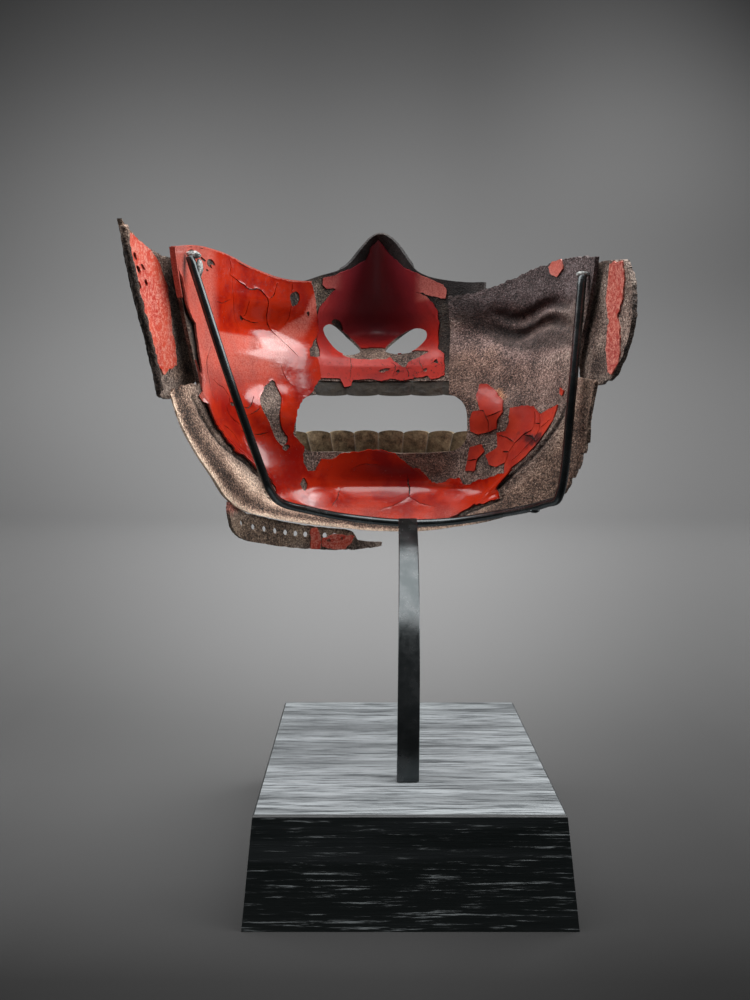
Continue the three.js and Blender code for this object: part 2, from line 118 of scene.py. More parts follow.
NOSE_WINGS = [(-28, 198, 13, 12, 3), (9, 198, 13, 12, 3)]  # x, z, reach in x and z, push
LEFT_NOSTRIL = [
    (-34.6, 200.5), (-30.8, 203), (-23.6, 198.8), (-17, 191.4), (-21, 188.4), (-27, 189.4),
    (-32.4, 195),
]
RIGHT_NOSTRIL = [
    (-5.8, 191.4), (0.3, 197.9), (8, 201.6), (13.2, 200.2), (13.6, 196), (8.6, 190.9), (3.4, 189.2),
    (-2, 189.1),
]
EAR_LEFT = table(  # the front, middle and back handle of each section's bend
    "at x0 x1 x2 y0 y1 y2 z0 z1 z2",
    (0, -82, -88.6, -92.7, -2, -25, -46, 220, 215, 225),
    (1, -81.6, -87.6, -91.6, 0, -20, -40, 206, 205, 210),
    (2, -81.3, -87, -90, 2, -16, -34, 193, 193, 197),
    (3, -78.3, -86.6, -88.4, 8, -13, -26, 179, 179, 183),
    (4, -81, -87.6, -86.8, 2, -14, -20, 171, 164.5, 169),
)
EAR_RIGHT = table(
    "at x0 x1 x2 y0 y1 y2 z0 z1 z2",
    (0, 65.9, 70.4, 71.2, -2, -24, -41, 217.5, 216, 212.5),
    (1, 65.9, 70.6, 72.4, -1, -23, -44, 206, 206, 205),
    (2, 65.6, 70.6, 72.6, 0, -22, -44, 197, 196, 194),
    (3, 65, 70, 72, -2, -21, -38, 186, 184, 183),
    (4, 65.7, 69.8, 70.3, -5, -20, -31, 173.5, 170, 175.5),
)
STRIP = table(
    "x y top bottom",
    (-66.2, 1.5, 128.6, 125),
    (-65.4, 5, 127.2, 118),
    (-62.6, 10.5, 123.8, 113),
    (-56.3, 17.5, 120.8, 110),
    (-45.3, 26.5, 116.9, 106.7),
    (-29.7, 35.5, 113.4, 104.2),
    (-20.4, 39, 111.6, 103.6),
    (-17.5, 39.7, 107.8, 103.6),
    (-7.5, 41.5, 106.5, 104.9),
)
STRIP_HOLES = {"count": 10, "diameter": 2.4, "first": -62.6, "last": -27.6, "above": 6}
WIRE = [
    (-77.8, -13, 218.6), (-64.6, -9, 176), (-53.4, -1, 140.7), (-50.3, 4, 131.5), (-46.5, 11, 126.6),
    (-38, 20.5, 123), (-22.9, 29.5, 118.8), (0, 34, 115.9), (20.4, 30.5, 116.9), (39.4, 19, 121.6),
    (53.5, 2, 127.5), (58.2, -6, 134), (59.9, -14, 167), (63.3, -16.5, 211.4),
]
WIRE_DIAMETER = 3.2
BAR = [(0.4, -27.5, 35.4), (0.9, -27, 75), (1.8, -14, 103), (3, 32, 118)]
BAR_WIDTH, BAR_THICKNESS = 7.7, 3.0


# ---- Numbers: smooth tables, noise ----


def smooth(rows, key, place, column):
    """Smooth value of one column of a table at a place along its key column."""
    k, v = rows[key], rows[column]
    at = np.clip(place, k[0], k[-1])
    i = np.clip(np.searchsorted(k, at, side="left") - 1, 0, len(k) - 2)
    before, after = np.maximum(i - 1, 0), np.minimum(i + 2, len(k) - 1)
    span = k[i + 1] - k[i]
    first = (v[i + 1] - v[before]) / (k[i + 1] - k[before]) * span
    last = (v[after] - v[i]) / (k[after] - k[i]) * span
    f = (at - k[i]) / span
    f2, f3 = f**2, f**3
    ends = (2 * f3 - 3 * f2 + 1) * v[i] + (3 * f2 - 2 * f3) * v[i + 1]
    return ends + (f3 - 2 * f2 + f) * first + (f3 - f2) * last


def hump(distance, reach):
    return np.cos(np.minimum(np.abs(distance) / reach, 1) * np.pi / 2) ** 2


def ramp(value, low, high):
    share = np.clip((value - low) / (high - low), 0, 1)
    return share * share * (3 - 2 * share)


def lattice(i, j, k, seed):
    """A steady random number from -1 to 1 for each whole-number place."""
    h = i * 374761393 + j * 668265263 + k * 2147483647 + seed * 974711
    h = (h ^ (h >> 13)) * 1274126177
    h = (h ^ (h >> 16)) & 0xFFFF
    return h / 32767.5 - 1


def noise(points, size, seed=0, octaves=3):
    """Cloudy noise, about -1 to 1, with features of about that size in mm."""
    total, weight, scale = 0.0, 1.0, 1.0 / size
    for octave in range(octaves):
        p = points * scale + 17.3 * octave
        cell = np.floor(p).astype(np.int64)
        f = p - cell
        f = f * f * (3 - 2 * f)
        value = 0.0
        for corner in range(8):
            d = np.array([corner & 1, corner >> 1 & 1, corner >> 2])
            part = np.prod(np.where(d, f, 1 - f), -1)
            at = cell + d
            value = value + part * lattice(at[..., 0], at[..., 1], at[..., 2], seed + octave)
        total = total + weight * value
        weight *= 0.55
        scale *= 2.1
    return total


# ---- Surfaces: each gives points in mm for places on it ----


def bowl(turn, z, lift=0.0):
    side = np.where(turn < 0, smooth(LEVELS, "z", z, "left"), smooth(LEVELS, "z", z, "right"))
    back = smooth(LEVELS, "z", z, "back")
    depth = smooth(LEVELS, "z", z, "front") - back
    angle = np.radians(turn)
    nx, ny = np.sin(angle) / side, np.cos(angle) / depth
    length = np.hypot(nx, ny)
    out = lift + 0.0 * turn
    for at, height, reach, z_reach, push in SWELLINGS:
        out = out + push * hump(turn - at, reach) * hump(z - height, z_reach)
    w = WRINKLE
    ends = np.clip(np.minimum(turn - w["from"], w["to"] - turn) / w["fade"], 0, 1)
    for height in WRINKLE_HEIGHTS:
        line = height + w["wave"] * np.cos((turn - w["from"]) / w["wave_length"] * 2 * np.pi)
        out = out + w["push"] * ends * np.exp(-(((z - line) / w["width"]) ** 2))
    x = MIDDLE + side * np.sin(angle) + nx / length * out
    y = back + depth * np.cos(angle) + ny / length * out
    return np.stack([x, y, z + 0.0 * turn], -1)


def plate(at, row):
    down = np.minimum(row / BOWL_ROWS, 1)
    out = (np.maximum(row - BOWL_ROWS, 0) / (ROWS - BOWL_ROWS))[..., None]
    top, jaw = smooth(STATIONS, "at", at, "top_turn"), smooth(STATIONS, "at", at, "jaw_turn")
    top_z, jaw_z = smooth(STATIONS, "at", at, "top_z"), smooth(STATIONS, "at", at, "jaw_z")
    start = bowl(top + (jaw - top) * np.sin(down * np.pi / 2), top_z + (jaw_z - top_z) * down)
    lip = np.stack([smooth(STATIONS, "at", at, name) for name in ("lip_x", "lip_y", "lip_z")], -1)
    handle = lip.copy()
    handle[..., 2] = start[..., 2] + RIM_HANDLE * (lip[..., 2] - start[..., 2])
    return (1 - out) ** 2 * start + 2 * out * (1 - out) * handle + out**2 * lip


def turn_at(x, z, lift):
    """The turn at which the raised bowl passes x at height z."""
    low, high = np.full(np.shape(x), -85.0), np.full(np.shape(x), 85.0)
    for _ in range(24):
        middle = (low + high) / 2
        under = bowl(middle, z, lift)[..., 0] < x
        low, high = np.where(under, middle, low), np.where(under, high, middle)
    return (low + high) / 2


def nose(x, z):
    p = bowl(turn_at(x, z, STAND_OFF), z, STAND_OFF)
    reach = smooth(NOSE, "z", z, "half_width")
    p[..., 1] += np.maximum(smooth(NOSE, "z", z, "rise"), 0) * hump(x - NOSE_PLATE["middle"], reach) ** 0.5
    for wing_x, wing_z, x_reach, z_reach, push in NOSE_WINGS:
        p[..., 1] += push * hump(x - wing_x, x_reach) * hump(z - wing_z, z_reach)
    return p


def ear(sections):
    """An ear flange's surface: across is 0 at its front edge and 1 at its back, down counts its sections."""

    def place(across, down):
        handles = [
            np.stack([smooth(sections, "at", down, f"{axis}{n}") for axis in "xyz"], -1) for n in range(3)
        ]
        t = across[..., None]
        return (1 - t) ** 2 * handles[0] + 2 * t * (1 - t) * handles[1] + t**2 * handles[2]

    return place


def strip(x, drop):
    """The lacing strip's surface: drop runs from its upper edge (0) to its lower one (1)."""
    top, bottom = smooth(STRIP, "x", x, "top"), smooth(STRIP, "x", x, "bottom")
    return np.stack([x, smooth(STRIP, "x", x, "y"), top + (bottom - top) * drop], -1)


def away_from_middle(points):
    out = points - np.array([MIDDLE, 0, 0])
    out[..., 2] = 0
    return out


def sideways(points):
    out = np.zeros_like(points)
    out[..., 0] = points[..., 0] - MIDDLE
    return out


def normals(place, u, v, step, outward):
    across = place(u + step[0], v) - place(u - step[0], v)
    down = place(u, v + step[1]) - place(u, v - step[1])
    n = np.cross(across, down)
    n /= np.maximum(np.linalg.norm(n, axis=-1, keepdims=True), 1e-9)
    wrong = np.sum(n * outward(place(u, v)), -1, keepdims=True) < 0
    return np.where(wrong, -n, n)


def scale_at(place, u, v, step):
    """How many mm one unit of u and one of v span at a place."""
    across = np.linalg.norm(place(u + step[0], v) - place(u - step[0], v), axis=-1) / (2 * step[0])
    down = np.linalg.norm(place(u, v + step[1]) - place(u, v - step[1]), axis=-1) / (2 * step[1])
    return np.maximum(across, 1e-3), np.maximum(down, 1e-3)


# ---- Outlines on a surface, as arrays of (u, v) ----


def resampled(place, line, spacing, closed=True):
    """The same line with points about every spacing mm."""
    line = np.array(line, float)
    if closed:
        line = np.vstack([line, line[:1]])
    fine = []
    for a, b in zip(line[:-1], line[1:]):
        fine.append(a + (b - a) * np.linspace(0, 1, 24, endpoint=False)[:, None])
    fine = np.vstack([*fine, line[-1:]])
    solid = place(fine[:, 0], fine[:, 1])
    run = np.concatenate([[0], np.cumsum(np.linalg.norm(np.diff(solid, axis=0), axis=1))])
    count = max(3, int(round(run[-1] / spacing)))
    at = np.linspace(0, run[-1], count + 1)
    out = np.stack([np.interp(at, run, fine[:, 0]), np.interp(at, run, fine[:, 1])], -1)
    return out[:-1] if closed else out


def rounded(line, closed=True, each=6):
    """A smooth curve through the points of a line."""
    p = np.array(line, float)
    n = len(p)
    out = []
    for i in range(n if closed else n - 1):
        pick = [(i - 1) % n, i, (i + 1) % n, (i + 2) % n]
        if not closed:
            pick = [max(i - 1, 0), i, i + 1, min(i + 2, n - 1)]
        a, b, c, d = p[pick]
        for t in np.arange(each) / each:
            out.append(0.5 * (2 * b + (c - a) * t + (2 * a - 5 * b + 4 * c - d) * t**2
                              + (3 * b - a - 3 * c + d) * t**3))
    if not closed:
        out.append(p[-1])
    return np.array(out)


def chipped(place, line, amount, size, step, seed=0, spacing=0.45, closed=True):
    """The line broken into an uneven edge: pushed sideways by up to about amount mm."""
    loop = resampled(place, line, spacing, closed)
    su, sv = scale_at(place, loop[:, 0], loop[:, 1], step)
    if closed:
        along = np.roll(loop, -1, 0) - np.roll(loop, 1, 0)
    else:
        along = np.gradient(loop, axis=0)
    along = np.stack([along[:, 0] * su, along[:, 1] * sv], -1)
    along /= np.maximum(np.linalg.norm(along, axis=1, keepdims=True), 1e-9)
    push = amount * noise(place(loop[:, 0], loop[:, 1]), size, seed, 3)
    return loop + np.stack([-along[:, 1] * push / su, along[:, 0] * push / sv], -1)


def sliver(place, line, width, step, seed=0, straight=False):
    """The outline of a crack about that wide along a line, running out to nothing at its ends."""
    line = line if straight else rounded(line, False, 4)
    path = chipped(place, line, 0.1 if straight else 0.35, 2.5, step, seed, 0.6, False)
    su, sv = scale_at(place, path[:, 0], path[:, 1], step)
    along = np.gradient(path, axis=0) * np.stack([su, sv], -1)
    along /= np.maximum(np.linalg.norm(along, axis=1, keepdims=True), 1e-9)
    share = np.linspace(0.03, 0.97, len(path))
    half = width / 2 * np.sin(share * np.pi) ** 0.5
    half = half * (1 + 0.45 * noise(place(path[:, 0], path[:, 1]), 1.6, seed + 7, 2))
    side = np.stack([-along[:, 1] * half / su, along[:, 0] * half / sv], -1)
    return np.vstack([path + side, (path - side)[::-1]])


def distance(points, solid):
    """How far each point is from the nearest of some others, in mm."""
    tree = KDTree(len(solid))
    for i, p in enumerate(solid):
        tree.insert(p, i)
    tree.balance()
    return np.array([tree.find(p)[2] for p in points])


def inside(points, loop):
    """Which points lie inside a closed loop."""
    x, y = points[:, 0], points[:, 1]
    found = np.zeros(len(points), bool)
    near = (
        (x >= loop[:, 0].min()) & (x <= loop[:, 0].max())
        & (y >= loop[:, 1].min()) & (y <= loop[:, 1].max())
    )
    px, py = x[near], y[near]
    hits = np.zeros(len(px), bool)
    for (ax, ay), (bx, by) in zip(loop, np.roll(loop, -1, 0)):
        if ay == by:
            continue
        crosses = (ay > py) != (by > py)
        hits ^= crosses & (px < (bx - ax) * (py - ay) / (by - ay) + ax)
    found[near] = hits
    return found


def place_of(points, guess=(8.0, 8.0)):
    """The (station, row) places of points seen from the front, each (x, z)."""
    points = np.array(points, float)
    at = np.full(len(points), guess[0])
    row = np.full(len(points), guess[1])
    for _ in range(40):
        here = plate(at, row)
        by_at = (plate(at + 0.02, row) - plate(at - 0.02, row)) / 0.04
        by_row = (plate(at, row + 0.05) - plate(at, row - 0.05)) / 0.1
        dx, dz = points[:, 0] - here[:, 0], points[:, 1] - here[:, 2]
        area = by_at[:, 0] * by_row[:, 2] - by_row[:, 0] * by_at[:, 2]
        at = np.clip(at + np.clip((dx * by_row[:, 2] - dz * by_row[:, 0]) / area, -2, 2), 0, LAST_STATION)
        row = np.clip(row + np.clip((dz * by_at[:, 0] - dx * by_at[:, 2]) / area, -4, 4), 0, BOWL_ROWS)
    return np.stack([at, row], -1)


# ---- Meshes ----


def make_object(name, points, faces, material, attributes=None, sharp=35, replaces=()):
    mesh = bpy.data.meshes.new(name)
    mesh.from_pydata([tuple(p) for p in points * MM], [], faces)
    mesh.validate()
    mesh.polygons.foreach_set("use_smooth", [True] * len(mesh.polygons))
    mesh.set_sharp_from_angle(angle=math.radians(sharp))
    for key, values in (attributes or {}).items():
        if np.ndim(values) == 2:
            layer = mesh.attributes.new(key, "FLOAT_VECTOR", "POINT")
            layer.data.foreach_set("vector", np.asarray(values, np.float32).ravel())
        else:
            layer = mesh.attributes.new(key, "FLOAT", "POINT")
            layer.data.foreach_set("value", np.asarray(values, np.float32).ravel())
    mesh.materials.append(material)
    mesh.update()
    piece = bpy.data.objects.new(name, mesh)
    bpy.context.scene.collection.objects.link(piece)
    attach(piece, "root")
    if replaces:
        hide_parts(*replaces)
    return piece


class Sheet:
    """A closed sheet of metal or lacquer over a surface. Its outline is cut exactly: loops are its outer
    edges and holes what is cut out of them. spacing is the size of its mesh in mm."""

    def __init__(self, place, outward, step, loops, holes=(), spacing=0.8, bed=(0.5, 0.5), seed=0):
        self.place, self.outward, self.step = place, outward, step
        loops = [np.array(loop, float) for loop in loops]
        holes = [np.array(hole, float) for hole in holes]
        rim = np.vstack([*loops, *holes])
        tree = KDTree(len(rim))
        for i, p in enumerate(place(rim[:, 0], rim[:, 1])):
            tree.insert(p, i)
        tree.balance()
        low, high = np.vstack(loops).min(0), np.vstack(loops).max(0)
        us = np.arange(low[0], high[0], bed[0])
        vs = np.arange(low[1], high[1], bed[1])
        grid = np.stack(np.meshgrid(us, vs, indexing="ij"), -1).reshape(-1, 2)
        shift = np.random.default_rng(seed).uniform(-0.22, 0.22, grid.shape)
        grid = grid + shift * np.array(bed)
        solid = place(grid[:, 0], grid[:, 1])
        keep = self.covered(grid, loops, holes)
        clear = np.array([keep[i] and tree.find(solid[i])[2] > 0.45 * spacing for i in range(len(grid))])
        points = np.vstack([rim, grid[clear]])
        edges, first = [], 0
        for loop in [*loops, *holes]:
            n = len(loop)
            edges += [(first + i, first + (i + 1) % n) for i in range(n)]
            first += n
        made = delaunay_2d_cdt([Vector(p) for p in points], edges, [], 0, 1e-6)
        flat = np.array([tuple(p) for p in made[0]])
        triangles = np.array(made[2])
        centres = flat[triangles].mean(1)
        triangles = triangles[self.covered(centres, loops, holes)]
        used, inverse = np.unique(triangles, return_inverse=True)
        self.flat = flat[used]
        self.triangles = inverse.reshape(-1, 3)
        a, b, c = (self.flat[self.triangles[:, i]] for i in range(3))
        turned = (b[:, 0] - a[:, 0]) * (c[:, 1] - a[:, 1]) - (b[:, 1] - a[:, 1]) * (c[:, 0] - a[:, 0]) < 0
        self.triangles[turned] = self.triangles[turned][:, ::-1]
        u, v = self.flat[:, 0], self.flat[:, 1]
        self.points = place(u, v)
        self.normals = normals(place, u, v, step, outward)
        self.edge = np.array([tree.find(p)[2] for p in self.points])

    @staticmethod
    def covered(points, loops, holes):
        keep = np.zeros(len(points), bool)
        for loop in loops:
            keep |= inside(points, loop)
        for hole in holes:
            keep &= ~inside(points, hole)
        return keep

    def solid(self, name, material, slot, inner, outer, attributes=None, replaces=(), sharp=35):
        """The piece between two heights over the surface, inner on the hollow side."""
        n = len(self.flat)
        points = np.vstack([self.points + self.normals * np.reshape(inner, (-1, 1)),
            self.points + self.normals * np.reshape(outer, (-1, 1))])
        t = self.triangles
        a, b, c = (self.points[t[:, i]] for i in range(3))
        facing = np.sum(np.cross(b - a, c - a) * self.normals[t[:, 0]], -1).sum() > 0
        up = t if facing else t[:, ::-1]
        faces = [*map(tuple, up + n), *map(tuple, up[:, ::-1])]
        edges = np.vstack([up[:, [0, 1]], up[:, [1, 2]], up[:, [2, 0]]])
        known = {tuple(e) for e in edges}
        for p, q in known:
            if (q, p) not in known:
                faces.append((p, q, q + n, p + n))
        extra = {key: np.concatenate([values, values]) for key, values in (attributes or {}).items()}
        extra["edge"] = np.concatenate([self.edge, self.edge])
        extra["outside"] = np.repeat([0.0, 1.0], n)
        return make_object(name, points, faces, material, extra, sharp, replaces)


# ---- Materials ----


class Nodes:
    """A procedural material being put together."""

    def __init__(self, name):
        self.material = bpy.data.materials.new(name)
        self.material.use_nodes = True
        self.tree = self.material.node_tree
        self.shader = self.tree.nodes["Principled BSDF"]

    def put(self, socket, value):
        if isinstance(value, bpy.types.NodeSocket):
            self.tree.links.new(value, socket)
        else:
            socket.default_value = value

    def add(self, kind, output=0, settings=None, **inputs):
        node = self.tree.nodes.new(kind)
        for key, value in (settings or {}).items():
            setattr(node, key, value)
        for key, value in inputs.items():
            found = (
                node.inputs[int(key[1:])] if key[0] == "i" and key[1:].isdigit()
                else node.inputs[key.replace("_", " ")]
            )
            self.put(found, value)
        return node.outputs[output]

    def where(self):
        return self.add("ShaderNodeTexCoord", "Object")

    def cloud(self, size, detail=4.0, roughness=0.6, at=None, distortion=0.0):
        """Noise with features of about that size in mm."""
        return self.add(
            "ShaderNodeTexNoise",
            Vector=at or self.where(),
            Scale=1 / (size * MM),
            Detail=detail,
            Roughness=roughness,
            Distortion=distortion,
        )

    def cells(self, size, feature="F1", at=None, randomness=1.0):
        return self.add(
            "ShaderNodeTexVoronoi",
            settings={"feature": feature},
            Vector=at or self.where(),
            Scale=1 / (size * MM),
            Randomness=randomness,
        )

    def value(self, name):
        return self.add("ShaderNodeAttribute", "Fac", {"attribute_name": name})

    def maths(self, operation, a, b=0.0):
        return self.add("ShaderNodeMath", 0, {"operation": operation}, i0=a, i1=b)

    def between(self, value, low, high, to_low=0.0, to_high=1.0):
        node = self.tree.nodes.new("ShaderNodeMapRange")
        node.interpolation_type = "SMOOTHSTEP"
        self.put(node.inputs["Value"], value)
        for key, number in (("From Min", low), ("From Max", high), ("To Min", to_low), ("To Max", to_high)):
            node.inputs[key].default_value = number
        return node.outputs[0]

    def mix(self, share, a, b, how="MIX"):
        node = self.tree.nodes.new("ShaderNodeMix")
        node.data_type = "RGBA"
        node.blend_type = how
        self.put(node.inputs[0], share)
        self.put(node.inputs[6], a if isinstance(a, bpy.types.NodeSocket) else (*a, 1))
        self.put(node.inputs[7], b if isinstance(b, bpy.types.NodeSocket) else (*b, 1))
        return node.outputs[2]

    def colours(self, value, stops):
        node = self.tree.nodes.new("ShaderNodeValToRGB")
        self.put(node.inputs[0], value)
        ramp_stops = node.color_ramp.elements
        while len(ramp_stops) < len(stops):
            ramp_stops.new(1.0)
        for stop, (at, colour) in zip(ramp_stops, stops):
            stop.position = at
            stop.color = (*colour, 1)
        return node.outputs[0]

    def bump(self, height, distance, strength=1.0, under=None):
        node = self.tree.nodes.new("ShaderNodeBump")
        node.inputs["Strength"].default_value = strength
        node.inputs["Distance"].default_value = distance * MM
        self.put(node.inputs["Height"], height)
        if under is not None:
            self.put(node.inputs["Normal"], under)
        return node.outputs[0]


def rust(name, dark, brown, pale, bright):
    """Old iron: crumbly brown rust, dark in its pores and pale on its crumbs. Its tone attribute runs from
    dark (0) to pale (1), and its tint attribute colours it."""
    m = Nodes(name)
    blotch = m.cloud(9, 4, 0.6)
    grain = m.cloud(0.85, 4, 0.75)
    fine = m.cloud(0.4, 2, 0.7)
    crumbs = m.cells(0.7)
    share = m.maths("ADD", m.maths("MULTIPLY", grain, 0.62), m.maths("MULTIPLY", fine, 0.38))
    share = m.maths("ADD", share, m.maths("MULTIPLY", m.maths("SUBTRACT", blotch, 0.5), 0.16))
    share = m.maths("ADD", share, m.maths("MULTIPLY", m.maths("SUBTRACT", m.value("tone"), 0.5), 0.45))
    base = m.colours(share, [(0.4, dark), (0.485, brown), (0.57, pale), (0.68, bright)])
    tint = m.add("ShaderNodeAttribute", "Color", {"attribute_name": "tint"})
    base = m.mix(1.0, base, tint, "MULTIPLY")
    m.put(m.shader.inputs["Base Color"], base)
    m.put(m.shader.inputs["Roughness"], m.between(grain, 0.35, 0.7, 0.6, 0.9))
    m.shader.inputs["Specular IOR Level"].default_value = 0.4
    height = m.maths("ADD", m.maths("MULTIPLY", grain, 1.2), m.maths("MULTIPLY", crumbs, 0.6))
    m.put(m.shader.inputs["Normal"], m.bump(height, 0.45, 1.0, m.bump(blotch, 1.0, 0.5)))
    return m.material


def lacquer(name, light, deep, darkest, gloss=0.12, dusty=0.0, coat=0.3):
    """Old vermilion lacquer, glossy and clouded. Its tone attribute takes it to its darkest colour, its dust
    attribute makes it pale with grainy specks, both as dusty lacquer and as painted light, and its worn
    attribute makes it rough and spotted."""
    m = Nodes(name)
    cloud = m.cloud(13, 4, 0.6)
    fine = m.cloud(1.6, 5, 0.65)
    specks = m.cloud(0.6, 3, 0.6)
    dust, worn = m.value("dust"), m.value("worn")
    base = m.mix(m.between(cloud, 0.36, 0.62), deep, light)
    base = m.mix(m.between(fine, 0.55, 0.72, 0.0, 0.35), base, tuple(0.4 * c for c in deep))
    base = m.mix(m.value("tone"), base, darkest)
    spots = m.maths("MULTIPLY", worn, m.between(m.maths("ADD", m.maths("MULTIPLY", fine, 0.6),
        m.maths("MULTIPLY", specks, 0.4)), 0.56, 0.6))
    base = m.mix(spots, base, (0.02, 0.008, 0.006))
    grainy = m.maths("MULTIPLY", dust, m.between(specks, 0.36, 0.62, 0.45, 1.0))
    base = m.mix(m.maths("MULTIPLY", grainy, 0.62), base, (0.78, 0.3, 0.24))
    if dusty:
        share = m.maths("ADD", m.maths("MULTIPLY", fine, 0.5), m.maths("MULTIPLY", specks, 0.5))
        base = m.mix(m.between(share, 0.44, 0.6, 0.0, dusty), base, (0.8, 0.34, 0.26))
    m.put(m.shader.inputs["Base Color"], base)
    rough = m.maths("ADD", m.between(fine, 0.4, 0.75, gloss, gloss + 0.18), m.maths("MULTIPLY", worn, 0.3))
    m.put(m.shader.inputs["Roughness"], rough)
    m.shader.inputs["Coat Weight"].default_value = 0.0 if dusty else coat
    m.shader.inputs["Coat Roughness"].default_value = 0.08
    height = m.maths("ADD", m.maths("MULTIPLY", fine, 0.6), m.maths("MULTIPLY", specks, 0.3))
    m.put(m.shader.inputs["Normal"], m.bump(height, 0.06, 0.5, m.bump(cloud, 0.3, 0.12)))
    return m.material


RUST = rust("rust", (0.018, 0.013, 0.011), (0.15, 0.105, 0.085), (0.36, 0.275, 0.225), (0.72, 0.62, 0.53))
RED_LACQUER = lacquer("red_lacquer", (0.5, 0.024, 0.004), (0.3, 0.007, 0.003), (0.14, 0.001, 0.001))
FLAKE_LACQUER = lacquer("flake_lacquer", (0.46, 0.03, 0.008), (0.34, 0.014, 0.004), (0.08, 0.004, 0.004),
    0.42)
NOSE_RED = lacquer("nose_lacquer", (0.5, 0.018, 0.006), (0.36, 0.01, 0.005), (0.19, 0.02, 0.034), 0.38,
    0.0, 0.05)
PINK_LACQUER = lacquer("dusty_lacquer", (0.66, 0.07, 0.03), (0.5, 0.03, 0.015), (0.24, 0.06, 0.06), 0.4,
    0.75)


def teeth_metal():
    m = Nodes("teeth_metal")
    blotch = m.cloud(3.5, 5, 0.6)
    grain = m.cloud(0.8, 5, 0.7)
    share = m.maths("ADD", m.maths("MULTIPLY", blotch, 0.6), m.maths("MULTIPLY", grain, 0.4))
    stops = [(0.34, (0.016, 0.013, 0.008)), (0.48, (0.14, 0.1, 0.055)), (0.62, (0.3, 0.23, 0.13))]
    base = m.colours(share, stops)
    base = m.mix(m.between(m.value("gaps"), 0.75, 1.0, 0.0, 0.6), base, (0.25, 0.23, 0.19))
    base = m.mix(m.value("dark"), base, (0.008, 0.006, 0.004))
    m.put(m.shader.inputs["Base Color"], base)
    m.put(m.shader.inputs["Roughness"], m.between(blotch, 0.35, 0.7, 0.4, 0.7))
    m.put(m.shader.inputs["Normal"], m.bump(grain, 0.2, 0.6))
    return m.material


def black_steel():
    m = Nodes("black_steel")
    smear = m.cloud(9, 4, 0.6)
    fine = m.cloud(0.6, 4, 0.6)
    m.put(m.shader.inputs["Base Color"], m.mix(m.between(smear, 0.4, 0.7), (0.06, 0.068, 0.07),
        (0.1, 0.107, 0.11)))
    m.put(m.shader.inputs["Roughness"], m.between(smear, 0.35, 0.7, 0.2, 0.3))
    m.shader.inputs["Metallic"].default_value = 0.92
    m.put(m.shader.inputs["Normal"], m.bump(fine, 0.03, 0.3))
    return m.material


def stained_wood():
    m = Nodes("stained_wood")
    grain_at = m.add("ShaderNodeMapping", Vector=m.where(), Scale=(0.045, 1, 1))
    pores = m.cloud(0.9, 6, 0.7, grain_at)
    bands = m.cloud(6, 3, 0.5, grain_at)
    normal = m.add("ShaderNodeSeparateXYZ", 2, Vector=m.add("ShaderNodeNewGeometry", 1))
    # Faces that look up get a paler grey than the front: wear and dust on the top, and a painted highlight.
    worn = m.between(normal, 0.7, 0.95)
    front = m.mix(m.between(pores, 0.57, 0.66), (0.004, 0.006, 0.006), (0.2, 0.22, 0.225))
    top = m.mix(m.between(pores, 0.36, 0.58), (0.05, 0.056, 0.06), (0.26, 0.28, 0.29))
    base = m.mix(worn, front, top)
    base = m.mix(m.between(bands, 0.42, 0.66, 0.0, 0.5), base, (0.02, 0.023, 0.025))
    m.put(m.shader.inputs["Base Color"], base)
    m.put(m.shader.inputs["Roughness"], m.between(pores, 0.4, 0.7, 0.3, 0.5))
    m.put(m.shader.inputs["Normal"], m.bump(pores, 0.25, 0.6))
    return m.material


TEETH_METAL = teeth_metal()
BLACK_STEEL = black_steel()
STAINED_WOOD = stained_wood()


# ---- Where the lacquer is, in stations and rows ----

LEFT_LACQUER = [
    (0.1, 0.02), (1.4, 0.02), (2.6, 0.02), (3.6, 0.02), (4.5, 0.02), (5.3, 0.02), (6, 0.02), (6.6, 0.02),
    (6.72, 1.3), (6.8, 3.3), (6.7, 4.1), (6.6, 4.7), (6.6, 5.2), (6.77, 5.3), (6.8, 6.7),
    (6.6, 7.75), (6.43, 8.17), (6.25, 9.2), (6.15, 10.4), (6.1, 10.8), (6.3, 11.6), (6.2, 12.2),
    (6.15, 12.8), (6.2, 13.4), (6.4, 13.2), (6.6, 12.4), (6.9, 12.3), (7.1, 11.9), (7.7, 11.5),
    (8.15, 11.4),
    (8.4, 11.6), (8.6, 12.05), (8.85, 12.5), (9, 12.5), (9.4, 13.6), (9.7, 13.6), (9.85, 13.3),
    (10.1, 13.3),
    (10.3, 13.9), (10.55, 14.05), (10.75, 13.75), (11.2, 14.1), (11.5, 14.35), (12, 15.1), (12.5, 15.5),
    (12, 15.7), (11.6, 16.7), (11, 15.8), (10.5, 15.9), (10.05, 16.3), (9.9, 17.2), (8.6, 17.3),
    (7.1, 17.4),
    (5.85, 17), (5, 16.4), (4.35, 15.8), (3.7, 16), (3.1, 15.5), (2.7, 16), (2, 16), (1.15, 16), (0.65, 16),
    (0.4, 16.3), (0.08, 15.6), (0.08, 13.1), (0.6, 12.5), (1.1, 12), (1.35, 10.2), (1.5, 6.6), (0.8, 6.2),
    (0.35, 5.8), (0.12, 3.1),
]
